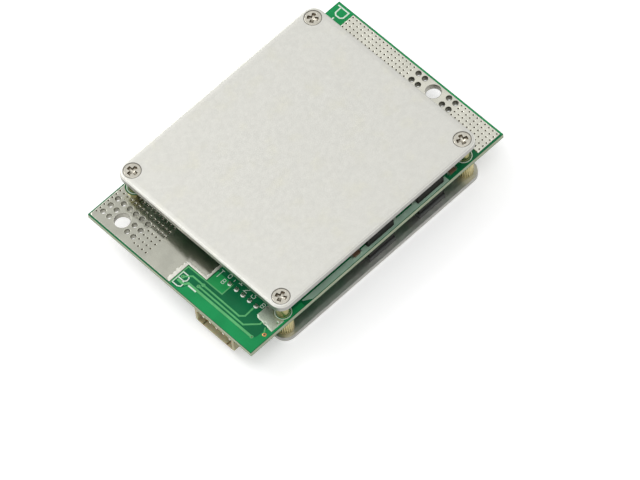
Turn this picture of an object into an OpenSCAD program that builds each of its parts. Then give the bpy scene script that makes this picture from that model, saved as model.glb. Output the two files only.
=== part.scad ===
// Battery management board: a two-sided power circuit board between two aluminium
// cover plates, with bare tinned terminal lands at both ends and a balance header.
// X runs from the battery terminal end to the load terminal end, Z is up, and the
// origin lies under the board's centre on the underside of the bottom plate.

/* [Circuit board] */
// Length of the board along X
board_l = 94; // [92:0.5:110]
// Width of the board along Y
board_w = 63; // [62:0.5:72]
// Thickness of the board laminate
board_t = 1.6; // [1.2:0.1:2.4]

/* [Cover plates] */
// Bare board beyond the plates at the battery terminal end
b_end_bare = 11.2; // [10.4:0.1:12.2]
// Bare board beyond the plates at the load terminal end
p_end_bare = 8.6; // [7.8:0.1:9.4]
// How far the plates stand out past the board's long edges
plate_over = 0.5; // [0.3:0.1:4]
// Thickness of each cover plate
plate_t = 2; // [1.8:0.1:3]
// Radius of the plate corners seen from above
plate_corner_r = 3.5; // [1:0.1:5]
// Radius rolled onto the outer rim of each plate
plate_edge_r = 0.6; // [0.2:0.1:1]

/* [Screws and standoffs] */
// Distance of the screws from the plates' ends along X
screw_inset_x = 3.5; // [3.2:0.1:4]
// Distance of the screws from the plates' long edges
screw_inset_y = 3.4; // [3.1:0.1:4]
// Outer diameter of the screw thread
screw_d = 2.5; // [2:0.1:3]
// Length of each screw, head included
screw_l = 5; // [4:0.5:6]
// Diameter of the countersunk screw head
head_d = 4.7; // [4:0.1:5.6]
// Height of the straight rim on the screw head
head_rim = 0.2; // [0.1:0.05:0.4]
// How deep the screw heads sit below the plate face
head_sink = 0.05; // [0:0.01:0.2]
// Free ring between a screw head and its recess
head_gap = 0.12; // [0.05:0.01:0.3]
// Depth of the cross recess in a screw head
recess_depth = 1; // [0.5:0.1:1.2]
// Width of one arm of the cross recess
recess_w = 0.62; // [0.4:0.02:0.8]
// Tip to tip length of the cross recess
recess_l = 2.7; // [1.6:0.1:3]
// Free space around a screw or stud in a plain hole
hole_gap = 0.1; // [0.05:0.01:0.2]
// Running clearance around a screw in its thread
thread_gap = 0.02; // [0.01:0.01:0.05]
// Diameter of the plain upper standoffs
upper_post_d = 4; // [3.6:0.1:4.8]
// Height of the upper standoffs, from board to top plate
upper_gap = 6; // [6:0.1:9]
// Diameter over the knurl of the lower standoffs
lower_post_d = 5; // [4.2:0.1:5.4]
// Height of the lower standoffs, from bottom plate to board
lower_gap = 6; // [6:0.1:9]
// Number of ribs in the knurl
knurl_ribs = 24; // [16:1:32]
// Depth of the knurl grooves
knurl_depth = 0.25; // [0.1:0.05:0.4]
// Height of the plain collar at each end of the knurl
knurl_collar = 0.4; // [0.2:0.1:1]
// Depth of the threaded hole in the lower standoffs
lower_thread_depth = 4; // [3.5:0.1:4.4]
// Gap between the stud tip and the screw tip inside a standoff
stud_tip_gap = 0.4; // [0.2:0.1:0.8]

/* [Terminal lands] */
// Thickness of the tinned copper on each face of the board
land_t = 0.2; // [0.1:0.05:0.4]
// Thickness of the tin lining inside each plated hole
plating_t = 0.18; // [0.17:0.01:0.2]
// Diameter of the terminal bolt hole at the battery end
b_bolt_d = 4.5; // [4:0.1:5]
// Distance of the battery bolt hole from its end of the board
b_bolt_inset = 4.9; // [4.5:0.1:5.5]
// Distance of the battery bolt hole from the +Y edge
b_bolt_edge = 8.3; // [8:0.1:12]
// Diameter of the terminal bolt hole at the load end
p_bolt_d = 4.4; // [4:0.1:4.8]
// Distance of the load bolt hole from its end of the board
p_bolt_inset = 3.3; // [3:0.1:3.6]
// Distance of the load bolt hole from the -Y edge
p_bolt_edge = 23.3; // [21:0.1:26]
// Bare board left along the outer edges of the battery land
b_land_margin = 0.4; // [0.2:0.1:0.8]
// Bare board left along the outer edges of the load land
p_land_margin = 0.6; // [0.3:0.1:0.8]
// Reach of the battery land along X from its outer edge
b_land_reach = 13.6; // [12.8:0.1:16]
// Length of the wide part of the battery land along Y
b_land_wide = 30.9; // [28:0.1:31.5]
// Bare board between the battery land's inner strip and the first solder joint
b_strip_gap = 4.5; // [3.5:0.1:6]
// Width of the battery land's inner strip
b_strip_w = 6.4; // [6:0.1:7]
// Reach of the load land along X from its outer edge
p_land_reach = 8.3; // [7.6:0.1:9]
// Bare board between the load land and the +Y edge
p_land_space = 6.1; // [5.4:0.1:8]
// Ring of bare board between a standoff and the copper
post_ring_gap = 0.25; // [0.2:0.05:0.5]

/* [Plated holes] */
// Diameter of the larger plated holes beside the bolt holes
feed_d = 1.5; // [1:0.1:1.7]
// Spacing of the larger plated holes along X
feed_pitch_x = 2.7; // [2.5:0.05:2.8]
// Spacing of the larger plated holes along Y at the battery end
b_feed_pitch_y = 2.35; // [2.2:0.05:2.4]
// Spacing of the larger plated holes along Y at the load end
p_feed_pitch_y = 2.45; // [2.2:0.05:2.6]
// Rows of larger plated holes at the battery end
b_feed_rows = 6; // [4:2:6]
// Distance of the battery feed columns' outermost one from the board end
b_feed_inset = 3.4; // [3.2:0.1:3.6]
// Distance of the load feed columns' outermost one from the board end
p_feed_inset = 1.85; // [1.7:0.05:2]
// Distance from the load bolt hole to the nearest larger hole along Y
p_feed_first = 4.6; // [4.2:0.1:5]
// Diameter of the small stitching holes in the lands
via_d = 0.6; // [0.4:0.1:0.8]
// Spacing of the stitching holes along Y
via_pitch_y = 1.48; // [1.4:0.01:1.5]
// Spacing of the stitching holes along X at the battery end
b_via_pitch_x = 1.74; // [1.6:0.02:1.8]
// Spacing of the row of stitching holes along the +Y edge
b_edge_pitch = 1.45; // [1.3:0.05:1.6]
// Spacing of the stitching holes along X at the load end
p_via_pitch_x = 1.33; // [1.2:0.01:1.4]
// Distance of the outermost stitching holes from the land's edge
via_inset = 0.6; // [0.5:0.05:0.8]
// Distance of the battery end's first stitching column from the land's inner side
b_via_inset = 1.2; // [0.9:0.1:1.5]
// Rows of stitching holes at the battery end
b_rows = 14; // [10:1:16]
// Rows of them that run across the whole land
b_dense_rows = 4; // [1:1:6]
// Stitching columns in these rows
b_cols = 7; // [3:1:7]
// Stitching columns in the rows beside the cover plate
b_inner_cols = 2; // [1:1:3]
// Stitching holes along the +Y edge beyond those columns
b_edge_n = 6; // [2:1:7]
// Copper left free between a larger plated hole and a stitching hole
via_space = 0.2; // [0.15:0.05:0.4]

/* [Balance header] */
// Number of contacts in the balance header
pin_n = 5; // [3:1:5]
// Spacing of the contacts
pin_pitch = 2.5; // [2.2:0.1:2.6]
// Side of the square contact pins
pin_w = 0.64; // [0.5:0.02:0.7]
// Bend radius of the pins at their inner side
pin_bend_r = 0.4; // [0.2:0.1:0.6]
// Length of a pin above the board
pin_stub = 0.9; // [0.6:0.1:1.6]
// How far the pin tips stay behind the mouth of the housing
pin_tip_inset = 0.7; // [0.4:0.1:2]
// Distance of the pin row behind the housing
pin_back_gap = 1.6; // [1.4:0.1:2]
// Distance of the header's middle from the -Y edge
header_edge = 14.4; // [13.6:0.1:16]
// Plastic beyond the outer contacts on each side, to the outside
header_end = 2.45; // [2.3:0.05:2.8]
// Depth of the housing from mouth to back
header_depth = 9.4; // [8.6:0.1:9.6]
// Height of the housing below the board
header_h = 5.75; // [5.4:0.05:5.9]
// Wall at the two ends of the housing
header_end_wall = 1; // [0.7:0.05:1.2]
// Wall above and below the contacts
header_wall = 0.7; // [0.5:0.05:0.9]
// Wall behind the contacts
header_back = 2; // [1.2:0.1:2.6]
// Radius along the two lower outer edges of the housing
header_edge_r = 0.9; // [0.4:0.1:1]
// Width of the two key slots in the lower wall
key_slot_w = 0.9; // [0.6:0.1:1.2]
// Length of the key slots from the mouth
key_slot_l = 5; // [3:0.5:7]
// Distance of each key slot from the end of the housing
key_slot_inset = 2.9; // [2.6:0.1:3.4]
// Height of the solder cones on the pins
solder_h = 0.45; // [0.3:0.05:0.6]
// Diameter of the solder cones at the board
solder_d = 1.8; // [1.5:0.1:2]

/* [Power transistors] */
// Rows of power transistors along Y
fet_rows = 4; // [2:1:4]
// Bare board between the outer transistors and the board's long edges
fet_edge = 0.9; // [0.6:0.1:2]
// Distance of the outer leads' tips from the load-side screws along X
fet_post_gap = 4.6; // [4:0.1:5.4]
// Free space between the tabs of the two columns
fet_tab_space = 6; // [5.4:0.1:7]
// Length of a transistor body along X
fet_l = 9.6; // [8.6:0.1:9.8]
// Width of a transistor body along Y
fet_w = 10.2; // [9.8:0.1:10.3]
// Height of a transistor body
fet_h = 4.4; // [4:0.1:4.8]
// Draft taken off each side of the body above its parting line
fet_draft = 0.35; // [0.1:0.05:0.6]
// Height of the parting line
fet_parting = 2.2; // [2:0.1:2.4]
// Thickness of the metal tab
tab_t = 1.3; // [1:0.1:1.5]
// How far the tab stands out of the body
tab_out = 1.5; // [1:0.1:1.6]
// Width of the tab
tab_w = 8.6; // [8:0.1:9.4]
// Depth of the tab inside the body
tab_in = 6.5; // [5:0.1:7]
// Distance between the two leads of a transistor
lead_span = 5.08; // [4.6:0.02:5.2]
// Width of a lead
lead_w = 0.8; // [0.6:0.05:1]
// Thickness of a lead
lead_t = 0.5; // [0.4:0.05:0.6]
// Reach of a lead out of the body
lead_reach = 4.9; // [4.4:0.1:5.2]
// Length of the lead's foot on the board
lead_foot = 2.3; // [1.6:0.1:2.6]

/* [Small parts] */
// Bare board between neighbouring small parts
part_gap = 1.2; // [0.8:0.1:1.6]
// Length of a gate resistor
gate_l = 3.2; // [2.6:0.1:3.4]
// Width of a gate resistor
gate_w = 1.5; // [1.2:0.1:1.6]
// Height of a gate resistor
gate_h = 0.7; // [0.4:0.1:1]
// Length of a balancing resistor
balance_l = 6.3; // [5:0.1:6.6]
// Width of a balancing resistor
balance_w = 3.1; // [2.4:0.1:3.2]
// Height of a balancing resistor
balance_h = 0.7; // [0.4:0.1:1]
// Gap between the two balancing resistors of a cell
balance_gap = 0.5; // [0.3:0.1:0.8]
// Number of cells that the board balances
cell_n = 4; // [2:1:4]
// Spacing of the cell channels along Y
cell_pitch = 8; // [7:0.1:8.4]
// Length of a current sense strip
sense_l = 6.4; // [5.6:0.1:6.8]
// Width of a current sense strip
sense_w = 3.2; // [2.6:0.1:3.4]
// Height of a current sense strip
sense_h = 1; // [0.8:0.1:1.4]
// Number of current sense strips
sense_n = 6; // [3:1:6]
// Spacing of the current sense strips
sense_pitch = 5; // [4:0.1:5.4]
// Length of the control chip body along Y
chip_l = 6.5; // [5:0.1:7.2]
// Width of the control chip body along X
chip_w = 4.4; // [3.8:0.1:4.6]
// Height of the control chip body
chip_h = 1; // [0.8:0.1:1.4]
// Contacts on each side of the control chip
chip_leads_n = 8; // [6:1:8]
// Spacing of the control chip's contacts
chip_pitch = 0.65; // [0.6:0.01:0.7]
// Gap between the control chip and the board
chip_standoff = 0.1; // [0.05:0.01:0.2]
// Reach of the control chip's leads out of its body
chip_reach = 1; // [0.8:0.05:1.2]
// Width of a lead of the control chip
chip_lead_w = 0.25; // [0.2:0.01:0.3]
// Thickness of the small parts' leads
chip_lead_t = 0.15; // [0.1:0.01:0.2]
// Length of a balancing transistor's body
sot_l = 2.9; // [2.6:0.1:3.1]
// Width of a balancing transistor's body
sot_w = 1.3; // [1.1:0.1:1.5]
// Height of a balancing transistor's body
sot_h = 1; // [0.8:0.1:1.2]
// Width of a balancing transistor's lead
sot_lead_w = 0.4; // [0.3:0.05:0.5]
// Reach of a balancing transistor's leads out of its body
sot_reach = 0.6; // [0.5:0.05:0.8]
// Length of a filter capacitor
filter_l = 2; // [1.6:0.1:2.2]
// Width of a filter capacitor
filter_w = 1.25; // [1:0.05:1.4]
// Height of a filter capacitor
filter_h = 0.9; // [0.6:0.1:1.2]
// Share of a chip part's length that each metal end cap covers
cap_share = 0.16; // [0.1:0.01:0.25]

/* [Solder patch] */
// Thickness of the solder patch beside the header
patch_t = 0.12; // [0.08:0.01:0.2]
// Reach of the patch from the nearest screw towards the board's end
patch_reach = 6.3; // [5.6:0.1:6.8]
// Distance of the patch's inner side from that screw
patch_in = 0.9; // [0.6:0.1:1.4]
// Slant of the patch's inner side next to the board's edge
patch_slant = 0.9; // [0.5:0.1:1.2]
// Corner cut off the patch beside the solder joints
patch_cut = 1; // [0.6:0.1:1.6]
// Bare board between the patch and the last solder joint
patch_pin_gap = 1.1; // [0.8:0.1:1.6]
// Bare board between the patch and the board's long edge
patch_edge = 0.7; // [0.4:0.1:1]

/* [Hidden] */
$fn = 48;
eps = 0.5;                      // overshoot of cutting tools past a face

z_board = plate_t + lower_gap;
z_face = z_board + board_t;
z_cover = z_face + upper_gap;
z_top = z_cover + plate_t;

half_l = board_l / 2;
half_w = board_w / 2;
plate_l = board_l - b_end_bare - p_end_bare;
plate_w = board_w + 2 * plate_over;
plate_x = (b_end_bare - p_end_bare) / 2;
post_x = [plate_x - plate_l / 2 + screw_inset_x, plate_x + plate_l / 2 - screw_inset_x];
post_y = plate_w / 2 - screw_inset_y;
post_ring_d = lower_post_d + 2 * post_ring_gap;
screw_r = screw_d / 2;
head_r = head_d / 2;
cone_h = head_r - screw_r;
plain_hole_r = screw_r + hole_gap;
thread_hole_r = screw_r + thread_gap;
stud_reach = upper_gap + plate_t - head_sink - screw_l - stud_tip_gap;

function post_places() = [for (x = post_x, sy = [-1, 1]) [x, sy * post_y]];

b_bolt = [-half_l + b_bolt_inset, half_w - b_bolt_edge];
p_bolt = [half_l - p_bolt_inset, -half_w + p_bolt_edge];

b_left = -half_l + b_land_margin;
b_top = half_w - b_land_margin;
b_right = b_left + b_land_reach;
p_right = half_l - p_land_margin;
p_left = p_right - p_land_reach;
p_bottom = -half_w + p_land_margin;
p_top = half_w - p_land_space;

// Larger plated holes: three columns at the battery end, whose two outer columns
// leave out the rows that the bolt hole takes, and two columns at the load end.
function b_feed_y(i) = b_bolt[1] + (i - (b_feed_rows - 1) / 2) * b_feed_pitch_y;
function b_feeds() = [for (c = [0:2], i = [0:b_feed_rows - 1])
    let (p = [-half_l + b_feed_inset + c * feed_pitch_x, b_feed_y(i)])
    if (norm(p - b_bolt) > (b_bolt_d + feed_d) / 2 + 2 * plating_t + via_space) p];
function p_feeds() = [for (c = [0:1], k = [0:1], s = [-1, 1])
    [half_l - p_feed_inset - c * feed_pitch_x,
     p_bolt[1] + s * (p_feed_first + k * p_feed_pitch_y)]];

// Stitching holes: a free one lies clear of every larger hole and standoff ring.
function clear_of(p, places, r) = len([for (q = places) if (norm(p - q) < r) 1]) == 0;
b_via_x0 = b_right - b_via_inset;
b_via_y0 = b_top - via_inset;
function b_via_grid() = [for (c = [0:b_cols - 1], i = [0:b_rows - 1])
    if (c < b_inner_cols || i >= b_rows - b_dense_rows)
    [b_via_x0 - c * b_via_pitch_x, b_via_y0 - i * via_pitch_y]];
function b_via_edge() = [for (k = [1:b_edge_n])
    [b_via_x0 - (b_inner_cols - 1) * b_via_pitch_x - k * b_edge_pitch, b_via_y0]];
function b_vias() = [for (p = concat(b_via_grid(), b_via_edge()))
    if (clear_of(p, post_places(), (post_ring_d + via_d) / 2 + via_space)
        && clear_of(p, [b_bolt], (b_bolt_d + via_d) / 2 + plating_t + via_space)
        && clear_of(p, b_feeds(), (feed_d + via_d) / 2 + plating_t + via_space)) p];
p_cols = floor((p_land_reach - 2 * via_inset) / p_via_pitch_x) + 1;
p_clear = p_feed_first + p_feed_pitch_y + (feed_d + via_d) / 2 + plating_t + via_space;
function p_via_rows(from, to, s) = [for (y = [from:s * via_pitch_y:to]) y];
p_via_ys = concat(p_via_rows(p_top - via_inset, p_bolt[1] + p_clear, -1),
    p_via_rows(p_bottom + via_inset, p_bolt[1] - p_clear, 1));
function p_vias() = [for (c = [0:p_cols - 1], y = p_via_ys)
    let (p = [p_right - via_inset - c * p_via_pitch_x, y])
    if (clear_of(p, post_places(), (post_ring_d + via_d) / 2 + via_space)) p];

header_y = -half_w + header_edge;
header_w = (pin_n - 1) * pin_pitch + 2 * header_end;
pin_z = z_board - header_h / 2;
pin_row_x = -half_l + header_depth + pin_back_gap;
pin_hole_d = pin_w * sqrt(2) + 2 * thread_gap;
function pin_ys() = [for (i = [0:pin_n - 1]) header_y + (i - (pin_n - 1) / 2) * pin_pitch];

b_strip_end = header_y + (pin_n - 1) / 2 * pin_pitch + solder_d / 2 + b_strip_gap;
patch_end = header_y - (pin_n - 1) / 2 * pin_pitch - solder_d / 2 - patch_pin_gap;

fet_reach = fet_tab_space / 2 + tab_out + fet_l + lead_reach;
fet_mid_x = post_x[1] - fet_post_gap - fet_reach;
fet_row_pitch = (board_w - 2 * fet_edge - fet_w) / max(fet_rows - 1, 1);
free_x = fet_mid_x - fet_reach - lead_t;
sense_x = (b_right + free_x) / 2;
cell_l = balance_l + part_gap + sot_w + 2 * sot_reach;
cell_x = (post_x[0] + lower_post_d / 2 + free_x - cell_l) / 2;
chip_place = [cell_x + chip_reach + chip_w / 2, header_y];

/* ---- shared shapes ---- */

// Plate with round corners, whose rim is rolled over at its upper face.
module rolled_plate(l, w, t, corner, edge) {
    for (turn = [0, 1]) {
        half = (turn == 0 ? l : w) / 2;
        run = (turn == 0 ? w : l) - 2 * corner;
        rotate([0, 0, turn * 90]) rotate([90, 0, 0]) translate([0, 0, -run / 2])
            linear_extrude(run) rim_section(half, t, edge);
    }
    for (sx = [-1, 1], sy = [-1, 1])
        translate([sx * (l / 2 - corner), sy * (w / 2 - corner), 0])
            rotate_extrude() intersection() {
                rim_section(corner, t, edge);
                square([corner + eps, t + eps]);
            }
}

// Upright section of a plate, 2 * half wide, with its two upper corners rounded.
module rim_section(half, t, edge) {
    translate([-half, 0]) square([2 * half, t - edge]);
    translate([-half + edge, 0]) square([2 * (half - edge), t]);
    for (s = [-1, 1]) translate([s * (half - edge), t - edge]) circle(edge);
}

// Countersunk hole through a plate whose outer face is at z = t.
module screw_hole(t) {
    seat = t - head_sink - head_rim;
    translate([0, 0, -eps]) cylinder(h = t + 2 * eps, r = plain_hole_r);
    translate([0, 0, seat - cone_h + hole_gap])
        cylinder(h = cone_h - hole_gap, r1 = plain_hole_r, r2 = head_r);
    translate([0, 0, seat]) cylinder(h = t - seat + eps, r = head_r + head_gap);
}

// Countersunk screw with its head's face at z = 0 and its shank pointing down.
module screw() {
    difference() {
        union() {
            translate([0, 0, -head_rim]) cylinder(h = head_rim, r = head_r);
            translate([0, 0, -head_rim - cone_h])
                cylinder(h = cone_h, r1 = screw_r, r2 = head_r);
            translate([0, 0, -screw_l]) cylinder(h = screw_l, r = screw_r);
        }
        intersection() {
            translate([0, 0, -recess_depth])
                cylinder(h = recess_depth + eps, r1 = recess_w, r2 = recess_l / 2 + eps / 2);
            for (a = [0, 90]) rotate([0, 0, a])
                translate([-recess_l / 2, -recess_w / 2, -recess_depth])
                    cube([recess_l, recess_w, recess_depth + eps]);
        }
    }
}

// Outline of the knurl: ribs of equal pitch around a circle.
module knurl_outline() {
    r = lower_post_d / 2;
    polygon([for (i = [0:4 * knurl_ribs - 1])
        let (a = i * 90 / knurl_ribs, rr = (i % 4 < 2) ? r : r - knurl_depth)
        [rr * cos(a), rr * sin(a)]]);
}

// Chip part lying on z = 0 with its length along X: the body between its end caps.
module chip_body(l, w, h) {
    cap = l * cap_share;
    translate([-l / 2 + cap, -w / 2, 0]) cube([l - 2 * cap, w, h]);
}

// The two end caps of the same chip part.
module chip_ends(l, w, h) {
    cap = l * cap_share;
    for (s = [-1, 1]) translate([s * (l - cap) / 2 - cap / 2, -w / 2, 0]) cube([cap, w, h]);
}

// Lead that leaves a body at x = 0 at a height, steps down and ends in a flat foot.
module gull_lead(reach, foot, w, t, drop) {
    knee = reach - foot;
    translate([-knee, -w / 2, drop - t]) cube([knee, w, t]);
    translate([-knee, -w / 2, 0]) cube([t, w, drop]);
    translate([-reach, -w / 2, 0]) cube([foot + t, w, t]);
}

// Places its children at every standoff.
module at_posts() {
    for (p = post_places()) translate([p[0], p[1], 0]) children();
}

// Turns its children from the board's upper face to its lower face.
module onto_face(upper) {
    if (upper) translate([0, 0, z_face]) children();
    else translate([0, 0, z_board]) mirror([0, 0, 1]) children();
}

// Places its children at each transistor of one column. In the children's frame the
// tab ends at x = 0, the body lies towards -X and the leads beyond it.
module column(upper, charge) {
    onto_face(upper) for (i = [0:fet_rows - 1])
        translate([fet_mid_x, (i - (fet_rows - 1) / 2) * fet_row_pitch, 0])
            mirror([charge ? 1 : 0, 0, 0]) translate([-fet_tab_space / 2, 0, 0]) children();
}

/* ---- board and lands ---- */

module board() {
    color("seagreen") difference() {
        translate([-half_l, -half_w, z_board]) cube([board_l, board_w, board_t]);
        board_hole(b_bolt, b_bolt_d / 2 + plating_t);
        board_hole(p_bolt, p_bolt_d / 2 + plating_t);
        for (p = concat(b_feeds(), p_feeds())) board_hole(p, feed_d / 2 + plating_t);
        for (p = post_places()) board_hole(p, plain_hole_r);
        for (y = pin_ys()) board_hole([pin_row_x, y], pin_hole_d / 2);
    }
}

module board_hole(p, r) {
    translate([p[0], p[1], z_board - eps]) cylinder(h = board_t + 2 * eps, r = r);
}

// Tinned copper on both faces of the board, joined by the lining of its plated holes.
module plated_land(bolt, bolt_r, feeds, vias) {
    difference() {
        union() {
            for (z = [z_board - land_t, z_face]) translate([0, 0, z])
                linear_extrude(land_t) children();
            lined_hole(bolt, bolt_r + plating_t);
            for (p = feeds) lined_hole(p, feed_d / 2 + plating_t);
        }
        land_hole(bolt, bolt_r);
        for (p = feeds) land_hole(p, feed_d / 2);
        for (p = vias, z = [z_board - land_t - eps, z_face])
            translate([p[0], p[1], z]) cylinder(h = land_t + eps, r = via_d / 2, $fn = 16);
    }
}

module lined_hole(p, r) {
    translate([p[0], p[1], z_board - land_t]) cylinder(h = board_t + 2 * land_t, r = r);
}

module land_hole(p, r) {
    translate([p[0], p[1], z_board - land_t - eps])
        cylinder(h = board_t + 2 * (land_t + eps), r = r);
}

module battery_land() {
    color("gainsboro") plated_land(b_bolt, b_bolt_d / 2, b_feeds(), b_vias())
        difference() {
            polygon([[b_left, b_top], [b_right, b_top], [b_right, b_strip_end],
                [b_right - b_strip_w, b_strip_end],
                [b_right - b_strip_w, b_top - b_land_wide], [b_left, b_top - b_land_wide]]);
            for (p = post_places()) translate(p) circle(d = post_ring_d);
        }
}

module load_land() {
    color("gainsboro") plated_land(p_bolt, p_bolt_d / 2, p_feeds(), p_vias())
        difference() {
            translate([p_left, p_bottom]) square([p_land_reach, p_top - p_bottom]);
            for (p = post_places()) translate(p) circle(d = post_ring_d);
        }
}

// Solder patch on the upper face between the pin row and the nearest standoff.
module corner_patch() {
    post = [post_x[0], -post_y];
    x0 = post[0] - patch_reach;
    x1 = post[0] - patch_in;
    y0 = -half_w + patch_edge;
    color("lightgray") translate([0, 0, z_face]) linear_extrude(patch_t) difference() {
        polygon([[x0, y0], [x1 - patch_slant, y0], [x1, post[1]], [x1, patch_end],
            [x0 + patch_cut, patch_end], [x0, patch_end - patch_cut]]);
        translate(post) circle(d = post_ring_d);
    }
}

/* ---- plates, screws and standoffs ---- */

module cover_plate() {
    difference() {
        rolled_plate(plate_l, plate_w, plate_t, plate_corner_r, plate_edge_r);
        for (p = post_places()) translate([p[0] - plate_x, p[1], 0]) screw_hole(plate_t);
    }
}

module top_plate() {
    color("silver") translate([plate_x, 0, z_cover]) cover_plate();
}

module bottom_plate() {
    color("silver") translate([plate_x, 0, plate_t]) mirror([0, 0, 1]) cover_plate();
}

module top_screws() {
    color("lightgray") at_posts() translate([0, 0, z_top - head_sink]) screw();
}

module bottom_screws() {
    color("lightgray") at_posts() translate([0, 0, head_sink]) mirror([0, 0, 1]) screw();
}

module upper_standoffs() {
    color("goldenrod") at_posts() translate([0, 0, z_face]) difference() {
        cylinder(h = upper_gap, d = upper_post_d);
        translate([0, 0, -eps]) cylinder(h = upper_gap + 2 * eps, r = thread_hole_r);
    }
}

module lower_standoffs() {
    collar_d = lower_post_d - 2 * knurl_depth;
    color("darkgoldenrod") at_posts() translate([0, 0, plate_t]) difference() {
        union() {
            cylinder(h = lower_gap, d = collar_d);
            translate([0, 0, knurl_collar])
                linear_extrude(lower_gap - 2 * knurl_collar) knurl_outline();
            cylinder(h = lower_gap + board_t + stud_reach, r = screw_r);
        }
        translate([0, 0, -eps]) cylinder(h = lower_thread_depth + eps, r = thread_hole_r);
    }
}

/* ---- balance header ---- */

// Housing under the board with its mouth flush with the board's end.
module header_housing() {
    cavity_w = header_w - 2 * header_end_wall;
    cavity_h = header_h - 2 * header_wall;
    hole = pin_w + 2 * thread_gap;
    color("wheat") translate([-half_l, header_y, z_board - header_h]) difference() {
        rotate([90, 0, 90]) linear_extrude(header_depth) header_section();
        translate([-eps, -cavity_w / 2, header_wall])
            cube([header_depth - header_back + eps, cavity_w, cavity_h]);
        for (s = [-1, 1])
            translate([-eps, s * (header_w / 2 - key_slot_inset) - key_slot_w / 2, -eps])
                cube([key_slot_l + eps, key_slot_w, header_wall + 2 * eps]);
        for (y = pin_ys())
            translate([0, y - header_y - hole / 2, header_h / 2 - hole / 2])
                cube([header_depth + eps, hole, hole]);
    }
}

// Section of the housing across its mouth, with rounded lower corners.
module header_section() {
    half = header_w / 2;
    translate([-half, header_edge_r]) square([header_w, header_h - header_edge_r]);
    translate([-half + header_edge_r, 0]) square([header_w - 2 * header_edge_r, header_h]);
    for (s = [-1, 1]) translate([s * (half - header_edge_r), header_edge_r])
        circle(header_edge_r);
}

// Bent contact pins: along X inside the housing, then up through the board.
module header_pins() {
    bend = pin_bend_r + pin_w;
    run = header_depth + pin_back_gap + pin_w / 2 - bend - pin_tip_inset;
    rise = z_face + pin_stub - pin_z + pin_w / 2 - bend;
    color("silver") for (y = pin_ys()) translate([pin_row_x + pin_w / 2, y, pin_z - pin_w / 2]) {
        translate([-bend - run, -pin_w / 2, 0]) cube([run, pin_w, pin_w]);
        translate([-pin_w, -pin_w / 2, bend]) cube([pin_w, pin_w, rise]);
        translate([-bend, pin_w / 2, bend]) rotate([90, 0, 0]) rotate([0, 0, -90])
            rotate_extrude(angle = 90) translate([pin_bend_r, 0]) square([pin_w, pin_w]);
    }
}

module header_solder() {
    color("silver") for (y = pin_ys()) translate([pin_row_x, y, z_face]) difference() {
        cylinder(h = solder_h, d1 = solder_d, d2 = pin_hole_d + 2 * plating_t);
        translate([-pin_w / 2, -pin_w / 2, -eps]) cube([pin_w, pin_w, solder_h + 2 * eps]);
    }
}

/* ---- power transistors ---- */

// Moulded body with drafted sides above the parting line and a pocket for the tab.
module fet_body() {
    translate([-tab_out - fet_l / 2, 0, 0]) difference() {
        intersection() {
            rotate([90, 0, 0]) translate([0, 0, -fet_w / 2])
                linear_extrude(fet_w) moulded_section(fet_l);
            rotate([90, 0, 90]) translate([0, 0, -fet_l / 2])
                linear_extrude(fet_l) moulded_section(fet_w);
        }
        translate([fet_l / 2 - tab_in, -tab_w / 2, -eps])
            cube([tab_in + eps, tab_w, tab_t + eps]);
    }
}

module moulded_section(w) {
    polygon([[-w / 2, 0], [w / 2, 0], [w / 2, fet_parting], [w / 2 - fet_draft, fet_h],
        [-w / 2 + fet_draft, fet_h], [-w / 2, fet_parting]]);
}

module fet_tab() {
    translate([-tab_out - tab_in, -tab_w / 2, 0]) cube([tab_out + tab_in, tab_w, tab_t]);
}

module fet_leads() {
    for (s = [-1, 1]) translate([-tab_out - fet_l, s * lead_span / 2, 0])
        gull_lead(lead_reach, lead_foot, lead_w, lead_t, fet_parting);
}

module bodies(upper, charge) {
    color("dimgray") column(upper, charge) fet_body();
}

module tabs(upper, charge) {
    color("lightgray") column(upper, charge) fet_tab();
}

module leads(upper, charge) {
    color("lightgray") column(upper, charge) fet_leads();
}

module upper_discharge_bodies() { bodies(true, false); }
module upper_discharge_tabs() { tabs(true, false); }
module upper_discharge_leads() { leads(true, false); }
module upper_charge_bodies() { bodies(true, true); }
module upper_charge_tabs() { tabs(true, true); }
module upper_charge_leads() { leads(true, true); }
module lower_discharge_bodies() { bodies(false, false); }
module lower_discharge_tabs() { tabs(false, false); }
module lower_discharge_leads() { leads(false, false); }
module lower_charge_bodies() { bodies(false, true); }
module lower_charge_tabs() { tabs(false, true); }
module lower_charge_leads() { leads(false, true); }

// Soft pads that carry the heat from every transistor into its cover plate.
module thermal_pads(upper) {
    gap = upper ? upper_gap : lower_gap;
    color("slategray") for (charge = [false, true]) column(upper, charge)
        translate([-tab_out - fet_l, -fet_w / 2, fet_h]) cube([fet_l, fet_w, gap - fet_h]);
}

module upper_thermal_pads() { thermal_pads(true); }
module lower_thermal_pads() { thermal_pads(false); }

/* ---- small parts ---- */

// Places its children beside the leads of every transistor on one face.
module at_gates(upper) {
    for (charge = [false, true]) column(upper, charge)
        translate([-tab_out - fet_l - lead_reach + gate_l / 2 - lead_t,
            -(lead_span + lead_w + gate_w) / 2 - lead_t, 0]) children();
}

module upper_gate_resistors() {
    color("saddlebrown") at_gates(true) chip_body(gate_l, gate_w, gate_h);
}

module upper_gate_caps() {
    color("silver") at_gates(true) chip_ends(gate_l, gate_w, gate_h);
}

module lower_gate_resistors() {
    color("saddlebrown") at_gates(false) chip_body(gate_l, gate_w, gate_h);
}

module lower_gate_caps() {
    color("silver") at_gates(false) chip_ends(gate_l, gate_w, gate_h);
}

// Current sense strips between the battery land and the transistors.
module at_senses() {
    onto_face(true) for (i = [0:sense_n - 1])
        translate([sense_x, (i - (sense_n - 1) / 2) * sense_pitch, 0]) children();
}

module sense_strips() {
    color("darkslategray") at_senses() chip_body(sense_l, sense_w, sense_h);
}

module sense_feet() {
    color("silver") at_senses() chip_ends(sense_l, sense_w, sense_h);
}

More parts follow.
